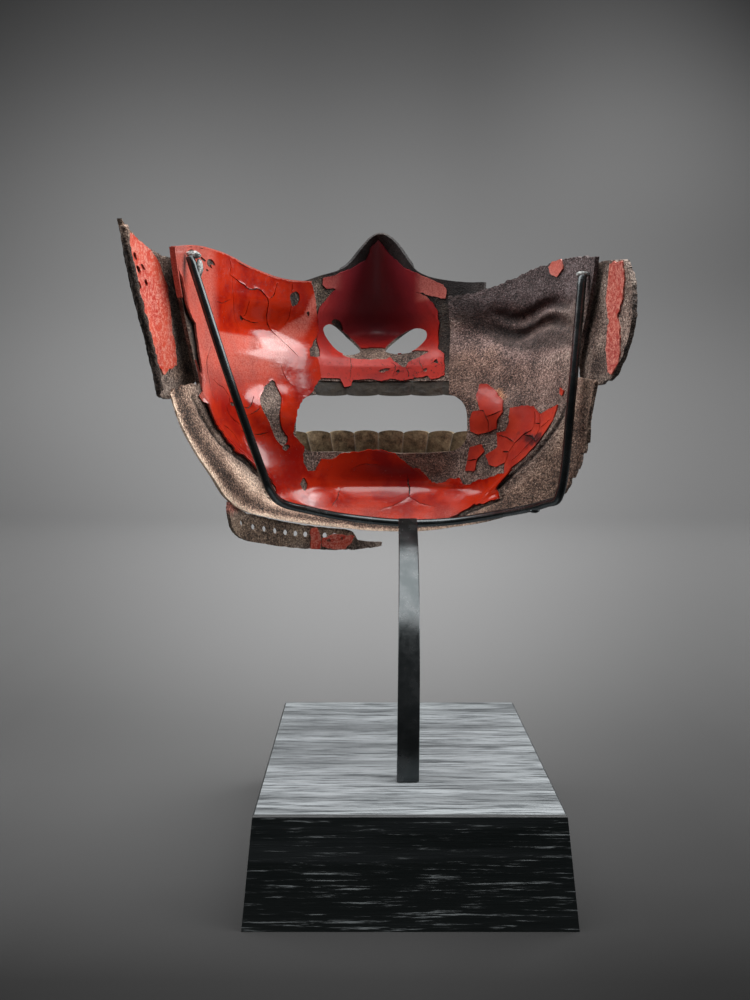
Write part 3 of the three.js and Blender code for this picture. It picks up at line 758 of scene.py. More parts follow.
LEFT_CHIPS = [
    [(6.11, 1.25), (6.15, 0.85), (6.28, 0.72), (6.35, 1.05), (6.32, 1.5), (6.2, 1.7)],
    [(5.71, 7.23), (5.38, 8.2), (5.13, 9.1), (5.14, 9.8), (5.34, 10.4), (5.5, 11), (5.57, 11.6),
    (5.75, 11.8),
     (5.93, 11.1), (5.8, 10.5), (5.72, 9.7), (5.86, 8.6), (5.84, 7.9)],
    [(1.5, 0.35), (1.8, 0.25), (2.1, 0.4), (2.35, 0.85), (2, 0.7), (1.75, 0.75)],
    [(2.55, 0.75), (2.9, 0.9), (2.75, 1.05)],
    [(3, 0.85), (3.25, 0.7), (3.4, 1), (3.2, 1.1), (3.25, 1.35), (3, 1.2)],
    [(2.9, 1.5), (3.1, 1.55), (2.95, 1.7)],
    [(5.98, 13.97), (5.8, 14.6), (5.88, 15), (6.06, 14.4)],
    [(5.66, 11.95), (5.85, 11.65), (5.92, 11.8), (5.75, 12.15)],
    [(3.6, 11.05), (3.83, 10.8), (4, 10.85), (3.7, 11.2)],
    [(6.52, 2.1), (6.6, 2), (6.58, 2.35)],
    [(4.75, 3.4), (4.9, 3.5), (4.86, 3.75)],
]
LEFT_CRACKS = [
    ([(4.1, 1.25), (4.5, 1.35), (4.9, 1.45), (5.2, 1.2), (5.4, 1.4), (5.55, 1.7), (5.6, 2.5), (5.7, 3.1),
        (5.85, 3.7),
      (6, 4.05)], 0.55),
    ([(5.98, 4), (6.15, 4.6), (6.35, 5.3)], 0.3),
    ([(4.1, 1.25), (4.12, 0.6), (4.05, 0.1)], 0.3),
    ([(4.2, 1.4), (4.26, 2.3), (4.48, 3.7), (4.75, 4.3)], 0.22),
    ([(5.57, 1.65), (5.7, 1.05), (5.76, 0.3)], 0.4),
    ([(4.93, 2.2), (4.95, 3.1), (4.86, 3.5)], 0.4),
    ([(4.8, 3.5), (5.15, 3.5), (5.45, 3.3)], 0.4),
    ([(3.5, 3.6), (3.8, 3.5), (4.2, 3)], 0.35),
    ([(6.16, 0.8), (6.15, 0.15)], 0.3),
    ([(6.16, 1.7), (6.17, 2.5), (6.1, 3)], 0.25),
    ([(2.95, 7.4), (2.45, 8.8), (2.2, 10), (2.15, 11.8), (2.1, 12.9)], 0.45),
    ([(3.3, 11.5), (3.38, 12.1), (3.75, 12.3), (3.95, 12.25)], 0.45),
    ([(4.2, 10.4), (4.5, 10.4), (4.75, 9.8), (4.95, 9)], 0.4),
    ([(4.45, 11), (4.85, 10.2), (5.1, 9.6)], 0.3),
    ([(4.7, 11.95), (5.1, 11.5), (5.35, 11)], 0.4),
    ([(3.9, 12.7), (4.15, 12.9), (3.95, 14.1)], 0.35),
    ([(2.65, 10.2), (3.35, 10.15), (3.65, 10.5), (3.4, 11.4)], 0.4),
    ([(2.45, 14), (3.2, 13.6), (3.5, 14.3)], 0.35),
    ([(8.72, 13), (8.8, 13.7), (8.85, 14.5)], 0.6),
    ([(8.85, 14.5), (9.15, 14.95), (9.6, 15.2)], 0.3),
    ([(8.85, 14.5), (8.5, 15), (8.05, 15.4)], 0.3),
    ([(6.9, 14.4), (6.75, 15.2), (6.6, 15.7)], 0.35),
    ([(7.3, 12.9), (7.6, 12.5), (8, 12.4)], 0.25),
    ([(5.95, 5.9), (6, 6.6), (6.2, 7.4)], 0.22),
    ([(3.1, 4.6), (3.4, 5.2), (3.3, 6)], 0.2),
]
RIGHT_LACQUER = [
    [(10.24, 6.75), (10.46, 6.82), (10.75, 7.6), (11.05, 8.5), (11.11, 9.3), (10.96, 9.7), (10.93, 10.3),
    (10.62, 10.3),
     (10.33, 10.27), (10.11, 9.97), (10.04, 9.15), (10.1, 8.6), (10.33, 8.55), (10.16, 7.5)],
    [(11.33, 9.3), (11.7, 9.67), (12.25, 10.45), (12.54, 11.1), (12.95, 11.9), (13.6, 12.2), (14.5, 13),
    (14.64, 14.65),
     (14.06, 15.42), (13.04, 15.5), (12.3, 15), (12, 15.3), (11.8, 14.3), (11.7, 13.72), (11.35, 13.53),
     (11, 12.9),
     (10.75, 12.03), (11, 11.85), (11.1, 11.78), (10.93, 10.6), (11.26, 10.83), (11.36, 10.37)],
    [(10.18, 11.15), (10.5, 11.08), (10.66, 11.7), (10.5, 12.15), (10.53, 13), (10.24, 12.88),
    (10.2, 12.1)],
    [(14.34, 11.3), (14.85, 12.3), (14.85, 12.8), (14.4, 11.9)],
    [(12.9, 0.4), (13.1, 0.05), (13.6, 0.05), (13.7, 0.8), (13.3, 1.4), (13, 1)],
]
RIGHT_CRACKS = [
    ([(10.3, 8.6), (10.47, 8.72), (10.66, 9.6), (10.65, 10.35)], 0.6),
    ([(10.55, 9.2), (10.9, 9.2), (11.1, 9.15)], 0.5),
    ([(12.44, 11), (12.79, 12.33), (12.76, 12.85), (12.2, 12.45), (11.85, 12.55), (11.7, 13),
        (11.75, 13.9)], 0.6),
    ([(12.95, 11.85), (13.5, 13.7), (13.4, 14.3), (12.65, 14.2), (12.05, 14.2)], 0.5),
    ([(10.98, 10.75), (11.35, 11.4), (11.85, 12.55)], 0.45),
    ([(12.2, 12.45), (13, 13.7), (13.6, 14.85), (14, 15.1)], 0.5),
    ([(11.7, 13), (11.4, 12.5)], 0.6),
    ([(13.5, 13.6), (14.3, 14)], 0.4),
    ([(12.79, 12.33), (13.3, 13.05)], 0.4),
    ([(10.2, 12.1), (10.5, 12.15)], 0.5),
]

# ---- The iron pieces ----


def rectangle(u0, v0, u1, v1):
    return [(u0, v0), (u1, v0), (u1, v1), (u0, v1)]


def rounded_box(left, right, bottom, top, corner):
    points = []
    for cx, cz, first in (
        (right - corner, top - corner, 0),
        (left + corner, top - corner, 90),
        (left + corner, bottom + corner, 180),
        (right - corner, bottom + corner, 270),
    ):
        for turn in np.radians(first + np.linspace(0, 90, 11)):
            points.append((cx + corner * math.cos(turn), cz + corner * math.sin(turn)))
    return points


PLATE_STEP = (0.03, 0.3)


def opening():
    """The mouth with the nose window above it, as one outline on the plate."""
    box = rounded_box(**MOUTH)
    right = [p for p in box if p[0] > WINDOW["right"]]
    left = [p for p in box if p[0] < WINDOW["left"]]
    upper_right = [p for p in right if p[1] > 157]
    lower_right = [p for p in right if p[1] <= 157]
    upper_left = [p for p in left if p[1] > 157]
    lower_left = [p for p in left if p[1] <= 157]
    seen = [(WINDOW["left"], MOUTH["top"]), *upper_left, *lower_left, *lower_right, *upper_right,
        (WINDOW["right"], MOUTH["top"])]
    mouth = place_of(seen)
    left_top = place_of([(WINDOW["left"], 215)])[0]
    right_top = place_of([(WINDOW["right"], 215)])[0]
    return np.vstack([[left_top[0], -0.6], left_top, mouth, right_top, [right_top[0], -0.6]])


gap_outline = opening()


def plate_loop():
    """The plate's edge: the top edge is broken where the nose window opens."""
    cut = gap_outline[1:-1]
    left_top, right_top = cut[0], cut[-1]
    top_left = np.array([[0, 0], [left_top[0], 0]])
    top_right = np.array([[right_top[0], 0], [LAST_STATION, 0]])
    end = np.array([[LAST_STATION, ROWS], [0, ROWS]])
    return np.vstack([top_left, cut, top_right, end])


def coloured(points, spots):
    """A tint for every point: each spot is (x, z, reach in x, reach in z, colour, strength)."""
    out = np.ones((len(points), 3))
    wander = 3 * noise(points, 7, 77, 2)
    for x, z, x_reach, z_reach, colour, strength in spots:
        far = np.hypot((points[:, 0] - x + wander) / x_reach, (points[:, 2] - z + wander) / z_reach)
        share = strength * (1 - ramp(far, 0.55, 1.15))[:, None]
        out = out * (1 - share) + np.array(colour) * share
    return out


def painted_shade_near(made, lines, reach):
    """How near each point is to some lines on the plate, for shade painted along them: 1 on them."""
    near = np.zeros(len(made.flat))
    for line in lines:
        solid = resampled(made.place, line, 0.5, False)
        away = distance(made.points, made.place(solid[:, 0], solid[:, 1]))
        near = np.maximum(near, np.exp(-((away / reach) ** 2)))
    return near


plate_edge = chipped(plate, plate_loop(), 0.12, 4, PLATE_STEP, 3, 0.6)
broken = ramp(plate_edge[:, 0], 11, 13) * ramp(plate_edge[:, 1], 17, 18.9)
corners = plate(plate_edge[:, 0], plate_edge[:, 1])
plate_edge[:, 1] -= broken * np.maximum(
    0, 0.1 + 0.4 * noise(corners, 5, 33, 2) + 0.25 * noise(corners, 1.6, 34, 2)
)
ends = ramp(np.abs(plate_edge[:, 0] - LAST_STATION / 2), 8.3, 8.49)
plate_edge[:, 0] += ends * np.sign(8 - plate_edge[:, 0]) * np.maximum(
    0, 0.06 + 0.08 * noise(corners, 3, 37, 3)
)
plate_edge[:, 1] += 0.12 * ramp(plate_edge[:, 0], 8, 9.5) * (1 - ramp(plate_edge[:, 1], 0.3, 0.6)) * (
    1 + noise(corners, 3, 35, 3))
plate_edge[:, 1] = np.clip(plate_edge[:, 1], 0, ROWS)
plate_edge[:, 0] = np.clip(plate_edge[:, 0], 0, LAST_STATION)
iron = Sheet(plate, away_from_middle, PLATE_STEP, [plate_edge], spacing=0.75, bed=(1 / 16, 1 / 8), seed=1)

PLATE_TINTS = [
    (48, 215, 32, 17, (0.66, 0.68, 0.84), 0.95),
    (42, 192, 30, 14, (0.78, 0.7, 0.78), 0.8),
    (44, 172, 24, 14, (0.95, 0.9, 0.98), 0.7),
    (30, 176, 22, 16, (1.05, 0.85, 0.76), 0.7),
    (48, 172, 20, 12, (0.85, 0.74, 0.74), 0.7),
    (12, 140, 14, 8, (0.62, 0.45, 0.38), 0.9),
    (-80, 200, 5, 25, (0.75, 0.68, 0.62), 0.9),
    (38, 168, 5, 3, (2.2, 1.3, 0.7), 0.7),
]
JAW_CRACKS = [
    [(0.4, 16.6), (1.2, 16.4), (2, 16.4), (3.1, 16), (4.2, 16.2), (5, 16.7)],
    [(11.9, 15.9), (12.6, 16), (13.4, 16.1), (14.4, 16.1), (15.4, 16.1), (16.2, 16)],
    [(10, 16.5), (10.8, 16), (11.6, 16.8), (11.95, 16)],
]
DARK_PIT = [[(6.2, 1), (6.25, 1.5)]]
GUTTER = [[(0.3, 5.9), (0.95, 6.5), (1.35, 7), (1.25, 10), (1, 11.8)]]
# The lower edge of the shadow that the photo has on the right cheek. It is painted on the iron.
CHEEK_SHADOW = table("x z", (18, 207), (28, 202), (39, 195), (47, 188.5), (57, 187), (66, 189.5))
row = iron.flat[:, 1]
station = iron.flat[:, 0]
bare_right = ramp(station, 9.5, 11.5)
x, z = iron.points[:, 0], iron.points[:, 2]
turn = np.degrees(np.arcsin(np.clip((x - MIDDLE) / 75, -1, 1)))
creased = np.clip(np.minimum(turn - WRINKLE["from"], WRINKLE["to"] - turn) / WRINKLE["fade"], 0, 1)
# under and over mark where shade and a highlight are painted along the wrinkles.
crease, under, over = np.zeros(len(x)), np.zeros(len(x)), np.zeros(len(x))
for height in WRINKLE_HEIGHTS:
    line = height + WRINKLE["wave"] * np.cos((turn - WRINKLE["from"]) / WRINKLE["wave_length"] * 2 * np.pi)
    crease += creased * np.exp(-(((z - line) / 1.7) ** 2))
    under += creased * np.exp(-(((z - line - 1.6) / 1.5) ** 2))
    over += creased * np.exp(-(((z - line + 2.4) / 1.3) ** 2))
lump = 0.12 + 0.12 * bare_right
ragged = lump * noise(iron.points, 2.4, 5, 3) + 0.05 * noise(iron.points, 0.9, 6, 2)
# Painted shade in the gaps: the iron is darkened along the jaw cracks, in the gutter by the lacquer's lifted
# edge, under the lacquer's cracks and in a pit.
groove = painted_shade_near(iron, JAW_CRACKS, 0.75)
under_cracks = painted_shade_near(iron, [line for line, _ in [*LEFT_CRACKS, *RIGHT_CRACKS]], 0.9)
painted_gap_shade = np.maximum.reduce([groove, 0.9 * painted_shade_near(iron, GUTTER, 1.3), 0.95 * under_cracks,
    painted_shade_near(iron, DARK_PIT, 2.2)])
settle = ramp(iron.edge, 0, 1)
# Painted highlight: the outer lip of the rim is made paler, mostly on the left.
lip_painted_highlight = ramp(row, 17.9, 18.9)
rim = ramp(row, 15.8, 17)
tone = 0.45 + 0.07 * noise(iron.points, 11, 9, 3) + 0.4 * lip_painted_highlight * (1 - ramp(station, 9, 12))
tone = tone + 0.25 * hump(station - 5, 3) * hump(row - 16.8, 1.1)
tone = tone + 0.18 * rim * (1 - ramp(row, 16.4, 17.4)) - 0.14 * rim * hump(row - 17.6,
    0.9) * (1 - bare_right)
tints = coloured(iron.points, PLATE_TINTS)
tints = (
    tints * (1 - rim[:, None])
    + rim[:, None] * (1.5 - 0.5 * bare_right[:, None]) * np.array([1.12, 1.0, 0.9])
)
above = z - smooth(CHEEK_SHADOW, "x", x, "z") + 0.8 * noise(iron.points, 4, 88, 2)
shaded = (
    ramp(x, 20, 28) * (1 - ramp(x, 60, 68))
    * ramp(above, -0.8, 1.6) * (1 - 0.75 * ramp(above, 6, 20)) * (1 - rim)
)
lit = ramp(x, 20, 30) * ramp(-above, 0, 2) * (1 - ramp(-above, 6, 26)) * (1 - rim)
tints = tints * (1 - 0.55 * shaded[:, None]) * (1 + 0.55 * lit[:, None])
# Painted shade just above each wrinkle line and a painted highlight just below it.
tints = tints * (1 - 0.6 * under[:, None]) * (1 + 0.6 * over[:, None])
# The painted shade in the gaps darkens the iron here.
tints = tints * (1 - 0.96 * painted_gap_shade[:, None])
iron.solid(
    "face_plate_iron",
    RUST,
    "face_plate",
    ragged * settle + 0.75 * groove + 1.4 * crease,
    THICKNESS + ragged * settle * 0.6 + 1.1 * crease,
    {"tone": tone, "tint": tints},
    ["face_plate"],
)


def nose_loop():
    n = NOSE_PLATE
    xs = np.linspace(n["left"], n["right"], 41)
    top = [(x, float(smooth(PEAK, "x", np.array(x), "z"))) for x in xs]
    return [*top, (n["right"], n["tab_bottom"]), (n["tab_left"], n["tab_bottom"]),
        (n["tab_left"], n["bottom"]), (n["left"], n["bottom"])]


NOSE_STEP = (0.25, 0.25)
nose_edge = chipped(nose, nose_loop(), 0.12, 3, NOSE_STEP, 4, 0.6)
nostrils = [resampled(nose, rounded(hole), 0.5) for hole in (LEFT_NOSTRIL, RIGHT_NOSTRIL)]
nose_iron = Sheet(nose, away_from_middle, NOSE_STEP, [nose_edge], nostrils, 0.7, (0.7, 0.7), 2)
NOSE_TINTS = [
    (0, 222, 60, 30, (0.1, 0.115, 0.14), 1.0),
    (-34, 214, 8, 9, (0.95, 1.0, 0.88), 0.9),
    (-33, 205, 4, 8, (0.5, 0.55, 0.48), 0.7),
    (20, 202, 6, 18, (0.22, 0.23, 0.22), 0.95),
    (20, 190, 5, 9, (0.16, 0.16, 0.16), 0.9),
    (-10, 188, 16, 5, (1.1, 1.02, 0.95), 0.9),
    (-29, 203.5, 4, 4, (0.5, 0.5, 0.45), 0.9),
]
rough = 0.08 * noise(nose_iron.points, 2, 6, 3)
nose_iron.solid(
    "nose_plate_iron",
    RUST,
    "nose_plate",
    rough,
    THICKNESS + rough,
    {"tone": 0.45 + 0.15 * noise(nose_iron.points, 9, 19, 2),
        "tint": coloured(nose_iron.points, NOSE_TINTS)},
    ["nose_plate"],
)


def teeth_row(name, from_turn, to_turn, bottom, top, thickness, count, scallop, upper):
    each, rows = 16, 16
    share = np.linspace(0, 1, count * each + 1)
    crown = np.sqrt(np.abs(np.sin(share * count * np.pi))) * scallop
    high = top - 0 * share if upper else top - scallop + crown
    low = bottom + scallop - crown if upper else bottom + 0 * share
    down = np.linspace(0, 1, rows + 1)
    turn = from_turn + (to_turn - from_turn) * share
    z = high[:, None] + (low - high)[:, None] * down[None]
    surface = bowl(turn[:, None] + 0 * z, z, STAND_OFF + crown[:, None])
    out = away_from_middle(surface)
    out /= np.linalg.norm(out, axis=-1, keepdims=True)
    rough = 0.1 * noise(surface, 1.5, 31, 3)[..., None]
    inner, outer = surface + out * rough, surface + out * (thickness + rough)
    points = np.vstack([inner.reshape(-1, 3), outer.reshape(-1, 3)])
    n, m = len(share), rows + 1
    at = np.arange(n * m).reshape(n, m)
    faces = []
    for i in range(n - 1):
        for j in range(m - 1):
            a, b, c, d = at[i, j], at[i + 1, j], at[i + 1, j + 1], at[i, j + 1]
            faces.append((a, d, c, b))
            faces.append((a + n * m, b + n * m, c + n * m, d + n * m))
    ring = [*at[:, 0], *at[-1, 1:], *at[-2::-1, -1], *at[0, -2:0:-1]]
    for p, q in zip(ring, ring[1:] + ring[:1]):
        faces.append((p, q, q + n * m, p + n * m))
    gaps = np.tile(np.repeat((1 - crown / scallop) * (not upper), m), 2)
    faces = [tuple(int(k) for k in f) for f in faces]
    return make_object(name, points, faces, TEETH_METAL,
        {"gaps": gaps, "dark": np.full(len(points), 0.88 * upper)}, 40, [name.replace("_metal", "")])


teeth_row("upper_teeth_metal", -34, 34, 169.4, 175.9, 1.6, 6, 0.7, True)
teeth_row("lower_teeth_metal", -38, 38, 142.5, 153.9, 2, 8, 1.3, False)

EAR_STEP = (0.02, 0.04)
EAR_LEFT_PITS = [(0.885, 0.58), (0.86, 0.87), (0.765, 0.72), (0.905, 1.3), (0.76, 1.1)]
EAR_TINTS = [
    (-92, 224, 6, 6, (1.5, 1.35, 1.15), 0.9),
    (-80, 205, 5, 24, (0.72, 0.66, 0.62), 0.9),
    (-80, 178, 6, 5, (1.6, 1.5, 1.4), 0.9),
    (70, 192, 5, 8, (1.3, 1.25, 1.25), 0.8),
]
for side, sections, pits in (("left", EAR_LEFT, EAR_LEFT_PITS), ("right", EAR_RIGHT, [])):
    place = ear(sections)
    frayed = 0.5 if side == "right" else 0.3
    edge = chipped(place, rectangle(0, 0, 1, 4), frayed, 2.2, EAR_STEP, 7, 0.45)
    edge = np.clip(edge, (0, 0), (1, 4))
    flange = Sheet(place, sideways, EAR_STEP, [edge], (), 0.7, (0.02, 0.05), 3)
    across, down = flange.flat[:, 0], flange.flat[:, 1]
    rough = 0.18 * noise(flange.points, 2, 12, 3)
    rough = rough - 0.35 * ramp(across, 0.975, 0.995)
    tints = coloured(flange.points, EAR_TINTS)
    for pit in pits:
        centre = place(np.array([pit[0]]), np.array([pit[1]]))
        away = np.linalg.norm(flange.points - centre, axis=1)
        rough = rough + 0.7 * (1 - ramp(away, 0.8, 1.5))
        tints = tints * ramp(away, 1, 2)[:, None]
    if side == "left":
        tints = tints * (1 - 0.7 * ramp(across, 0.965, 0.985) * ramp(down, 0.1, 0.3))[:, None]
    flange.solid(
        f"ear_flange_{side}_iron",
        RUST,
        "flanges",
        rough,
        1.3 + 0.18 * noise(flange.points, 2, 12, 3),
        {"tone": 0.5 + 0.15 * noise(flange.points, 9, 14, 2), "tint": tints},
        [f"ear_flange_{side}"],
    )

down = np.linspace(0.12, 3.9, 24)
bead = ear(EAR_LEFT)(np.full(24, 0.985), down) + np.array([0.2, 0, 0])
EAR_BEAD = [tuple(p) for p in bead]

STRIP_STEP = (0.3, 0.03)
strip_edge = chipped(strip, rectangle(-66.2, 0, -7.5, 1), 0.35, 2.5, STRIP_STEP, 8, 0.45)
strip_edge = np.clip(strip_edge, (-66.2, 0), (-7.5, 1))
lacing = []
for n in range(STRIP_HOLES["count"]):
    x = STRIP_HOLES["first"] + (STRIP_HOLES["last"] - STRIP_HOLES["first"]) * n / (STRIP_HOLES["count"] - 1)
    su, sv = scale_at(strip, np.array([x]), np.array([0.5]), STRIP_STEP)
    drop = 1 - STRIP_HOLES["above"] / sv[0]
    turn = np.linspace(0, 2 * np.pi, 20, endpoint=False)
    radius = STRIP_HOLES["diameter"] / 2
    lacing.append(np.stack([x + radius * np.cos(turn) / su[0], drop + radius * np.sin(turn) / sv[0]], -1))
band = Sheet(strip, away_from_middle, STRIP_STEP, [strip_edge], lacing, 0.7, (0.6, 0.07), 4)
rough = 0.15 * noise(band.points, 1.8, 22, 3)
STRIP_TINTS = [(-40, 116, 40, 12, (1.0, 0.93, 0.8), 1.0), (-66, 126, 3, 3, (2.2, 0.7, 0.6), 0.6)]
band.solid(
    "throat_flange_iron",
    RUST,
    "flanges",
    rough,
    1.3 + rough,
    {"tone": 0.5 + 0.12 * noise(band.points, 7, 24, 2), "tint": coloured(band.points, STRIP_TINTS)},
    ["throat_flange"],
)


# ---- The stand ----


def tube(path, radius, sides=20, each=8):
    """A round wire along a smooth path, with domed ends."""
    line = rounded(path, closed=False, each=each)
    along = np.gradient(line, axis=0)
    along /= np.linalg.norm(along, axis=1, keepdims=True)
    across = np.cross(along, (0.0, 1.0, 0.2))
    across /= np.linalg.norm(across, axis=1, keepdims=True)
    third = np.cross(along, across)
    turn = np.linspace(0, 2 * np.pi, sides, endpoint=False)
    rings = [(line[0] - along[0] * 0.25 * radius, across[0], third[0], 0.75 * radius)]
    rings += [(line[i], across[i], third[i], radius) for i in range(len(line))]
    rings.append((line[-1] + along[-1] * 0.25 * radius, across[-1], third[-1], 0.75 * radius))
    points = np.vstack([
        c + r * (np.cos(turn)[:, None] * a + np.sin(turn)[:, None] * b)
        for c, a, b, r in rings
    ])
    faces = []
    for i in range(len(rings) - 1):
        for j in range(sides):
            k = (j + 1) % sides
            faces.append((i * sides + j, i * sides + k, (i + 1) * sides + k, (i + 1) * sides + j))
    faces.append(tuple(range(sides))[::-1])
    faces.append(tuple((len(rings) - 1) * sides + j for j in range(sides)))
    return points, faces


bead_points, bead_faces = tube(EAR_BEAD, 1.25, 14, 3)
bead_points = bead_points + 0.25 * noise(bead_points, 1.5, 61, 2)[:, None]
bead_tint = (
    np.tile([0.3, 0.27, 0.25], (len(bead_points), 1))
    * (1 + 3.5 * ramp(bead_points[:, 2], 214, 222))[:, None]
)
bead_marks = {"tone": np.full(len(bead_points), 0.5), "tint": bead_tint}
make_object("ear_flange_left_rim", bead_points, bead_faces, RUST, bead_marks, 60)

wire_points, wire_faces = tube(WIRE, WIRE_DIAMETER / 2)
make_object("cradle_wire", wire_points, wire_faces, BLACK_STEEL, {}, 60, ["holder_frame"])


def flat_bar():
    """The flat bar, bent along one curve, with softened long edges."""
    t = np.linspace(0, 1, 61)[:, None]
    h = [np.array(p, float) for p in BAR]
    face = (1 - t) ** 3 * h[0] + 3 * t * (1 - t) ** 2 * h[1] + 3 * t**2 * (1 - t) * h[2] + t**3 * h[3]
    along = np.gradient(face, axis=0)
    along /= np.linalg.norm(along, axis=1, keepdims=True)
    side = np.array([1.0, 0, 0])
    back = np.cross(along, side)
    back /= np.linalg.norm(back, axis=1, keepdims=True)
    w, d, r = BAR_WIDTH / 2, BAR_THICKNESS, 0.35
    profile = []
    for cx, cy, first in ((w - r, r, 270), (w - r, d - r, 0), (-w + r, d - r, 90), (-w + r, r, 180)):
        for turn in np.radians(first + np.linspace(0, 90, 4)):
            profile.append((cx + r * math.cos(turn), cy + r * math.sin(turn)))
    points = np.vstack([
        face[i] + np.array([[x, 0, 0] for x, _ in profile])
        - back[i] * np.array([[y] for _, y in profile]) * (1 if back[i][1] < 0 else -1)
        for i in range(len(face))
    ])
    n = len(profile)
    faces = []
    for i in range(len(face) - 1):
        for j in range(n):
            k = (j + 1) % n
            faces.append((i * n + j, i * n + k, (i + 1) * n + k, (i + 1) * n + j))
    faces.append(tuple(range(n))[::-1])
    faces.append(tuple((len(face) - 1) * n + j for j in range(n)))
    return points, faces


bar_points, bar_faces = flat_bar()
make_object("stand_bar", bar_points, bar_faces, BLACK_STEEL, {}, 40)

def dab(name, centre, radii, material, seed, lumpy=0.25):
    """A small uneven lump."""
    rings, sides = 14, 20
    down = np.linspace(0, np.pi, rings + 1)[1:-1]
    turn = np.linspace(0, 2 * np.pi, sides, endpoint=False)
    d, t = np.meshgrid(down, turn, indexing="ij")
    ball = np.stack([np.sin(d) * np.cos(t), np.sin(d) * np.sin(t), np.cos(d)], -1).reshape(-1, 3)
    ball = np.vstack([ball, [[0, 0, 1], [0, 0, -1]]])
    ball = ball * (1 + lumpy * noise(ball + seed, 0.7, seed, 2))[:, None]
    points = np.array(centre) + ball * np.array(radii)
    faces = []
    for i in range(rings - 2):
        for j in range(sides):
            k = (j + 1) % sides
            faces.append((i * sides + j, (i + 1) * sides + j, (i + 1) * sides + k, i * sides + k))
    last = (rings - 1) * sides
    for j in range(sides):
        k = (j + 1) % sides
        faces.append((last, j, k))
        faces.append((last + 1, last - sides + k, last - sides + j))
    return make_object(name, points, faces, material, {}, 60)


def old_glue():
    m = Nodes("old_glue")
    cloud = m.cloud(1.2, 4, 0.6)
    m.put(m.shader.inputs["Base Color"], m.mix(m.between(cloud, 0.4, 0.6), (0.09, 0.1, 0.1),
        (0.5, 0.52, 0.5)))
    m.shader.inputs["Roughness"].default_value = 0.35
    m.put(m.shader.inputs["Normal"], m.bump(cloud, 0.4, 0.8))
    return m.material


OLD_GLUE = old_glue()
dab("glue_left_top", (-76.6, -12.6, 219.5), (2.6, 1.6, 1.3), OLD_GLUE, 3)
dab("glue_left_low", (-74.6, -12, 214.8), (1.3, 1.2, 3.4), OLD_GLUE, 5)
dab("glue_right_top", (63.3, -16.4, 211.8), (2.4, 1.7, 1.0), OLD_GLUE, 8)
dab("glue_right_low", (62.6, -15.6, 208.6), (1.0, 1.2, 2.6), OLD_GLUE, 9)
dab("wire_knob", (50.6, 6.2, 124.4), (2.0, 1.2, 0.9), BLACK_STEEL, 11, 0.1)

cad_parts["base_block"].data.materials.clear()
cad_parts["base_block"].data.materials.append(STAINED_WOOD)


# ---- The lacquer that is left ----

FILM = 0.45


def film(name, place, outward, step, loops, material, slot, bed, chips=(), cracks=(), lifts=(), seed=0,
    **more):
    """A film of lacquer on the hollow side. Chips are cut out of it, cracks are (line, width), and lifts are
    (line, reach, height) where it has come away from the iron."""
    edge = more.get("edge", 0.45)
    loops = [chipped(place, loop, edge, 2.2, step, seed + i, 0.4) for i, loop in enumerate(loops)]
    holes = [
        chipped(place, rounded(chip, True, 4), 0.3, 1.8, step, seed + 20 + i, 0.4)
        for i, chip in enumerate(chips)
    ]
    holes += more.get("cuts", [])
    straight = more.get("straight", False)
    holes += [
        sliver(place, line, width, step, seed + 50 + i, straight)
        for i, (line, width) in enumerate(cracks)
    ]
    made = Sheet(place, outward, step, loops, holes, more.get("spacing", 0.6), bed, seed)
    raised = more.get("curl", 0.07) * np.exp(-made.edge / 0.7) * (1 + noise(made.points, 4, seed + 50, 2))
    for line, reach, height in lifts:
        solid = resampled(place, line, 0.5, False)
        away = distance(made.points, place(solid[:, 0], solid[:, 1]))
        raised = raised + height * np.exp(-((away / reach) ** 2))
    wave = 0.03 * noise(made.points, 12, seed + 60, 1) + 0.006 * noise(made.points, 2, seed + 61, 1)
    none = np.zeros(len(made.flat))
    marks = {key: more[key](made.points) if key in more else none for key in ("tone", "dust", "worn")}
    return made.solid(name, material, slot, -(FILM + raised + wave), 0.12 - 0.8 * raised, marks)


def left_dark(points):
    """Deeper red on the chin, low on the cheek and high on it, where the photo shows it darker. On the chin
    and high on the cheek it is painted shade.
    """
    x, z = points[:, 0], points[:, 2]
    chin = hump(x - 2, 36) * hump(z - 135, 10)
    cheek = 0.6 * hump(x + 52, 18) * hump(z - 146, 15)
    high = 0.35 * hump(x + 44, 14) * ramp(z, 198, 210)
    return np.clip(0.9 * chin + cheek + high, 0, 1)


def left_dust(points):
    """Painted reflection: a pale zone on the cheek where the photo has a bright reflection. The outer edge
    and the shelf under the chin are made pale too, as painted light.
    """
    x, z = points[:, 0], points[:, 2]
    line = 194.5 + 10 * ramp(x, -60, -42) + 12 * ramp(x, -44, -36)
    below = ramp(line - z, -0.4, 0.8) * (1 - ramp(line - z, 10, 30 - 16 * ramp(x, -52, -42)))
    cheek = below * (1 - 0.95 * ramp(x, -52, -45) * ramp(line - z, 5, 14))
    outer = 0.8 * (1 - ramp(x, -75.5, -72.5))
    shelf = 0.5 * (1 - ramp(z, 117, 124)) * (1 - 0.7 * hump(x - 4, 22))
    return np.clip(np.maximum(np.maximum(0.85 * cheek, outer), shelf), 0, 1)


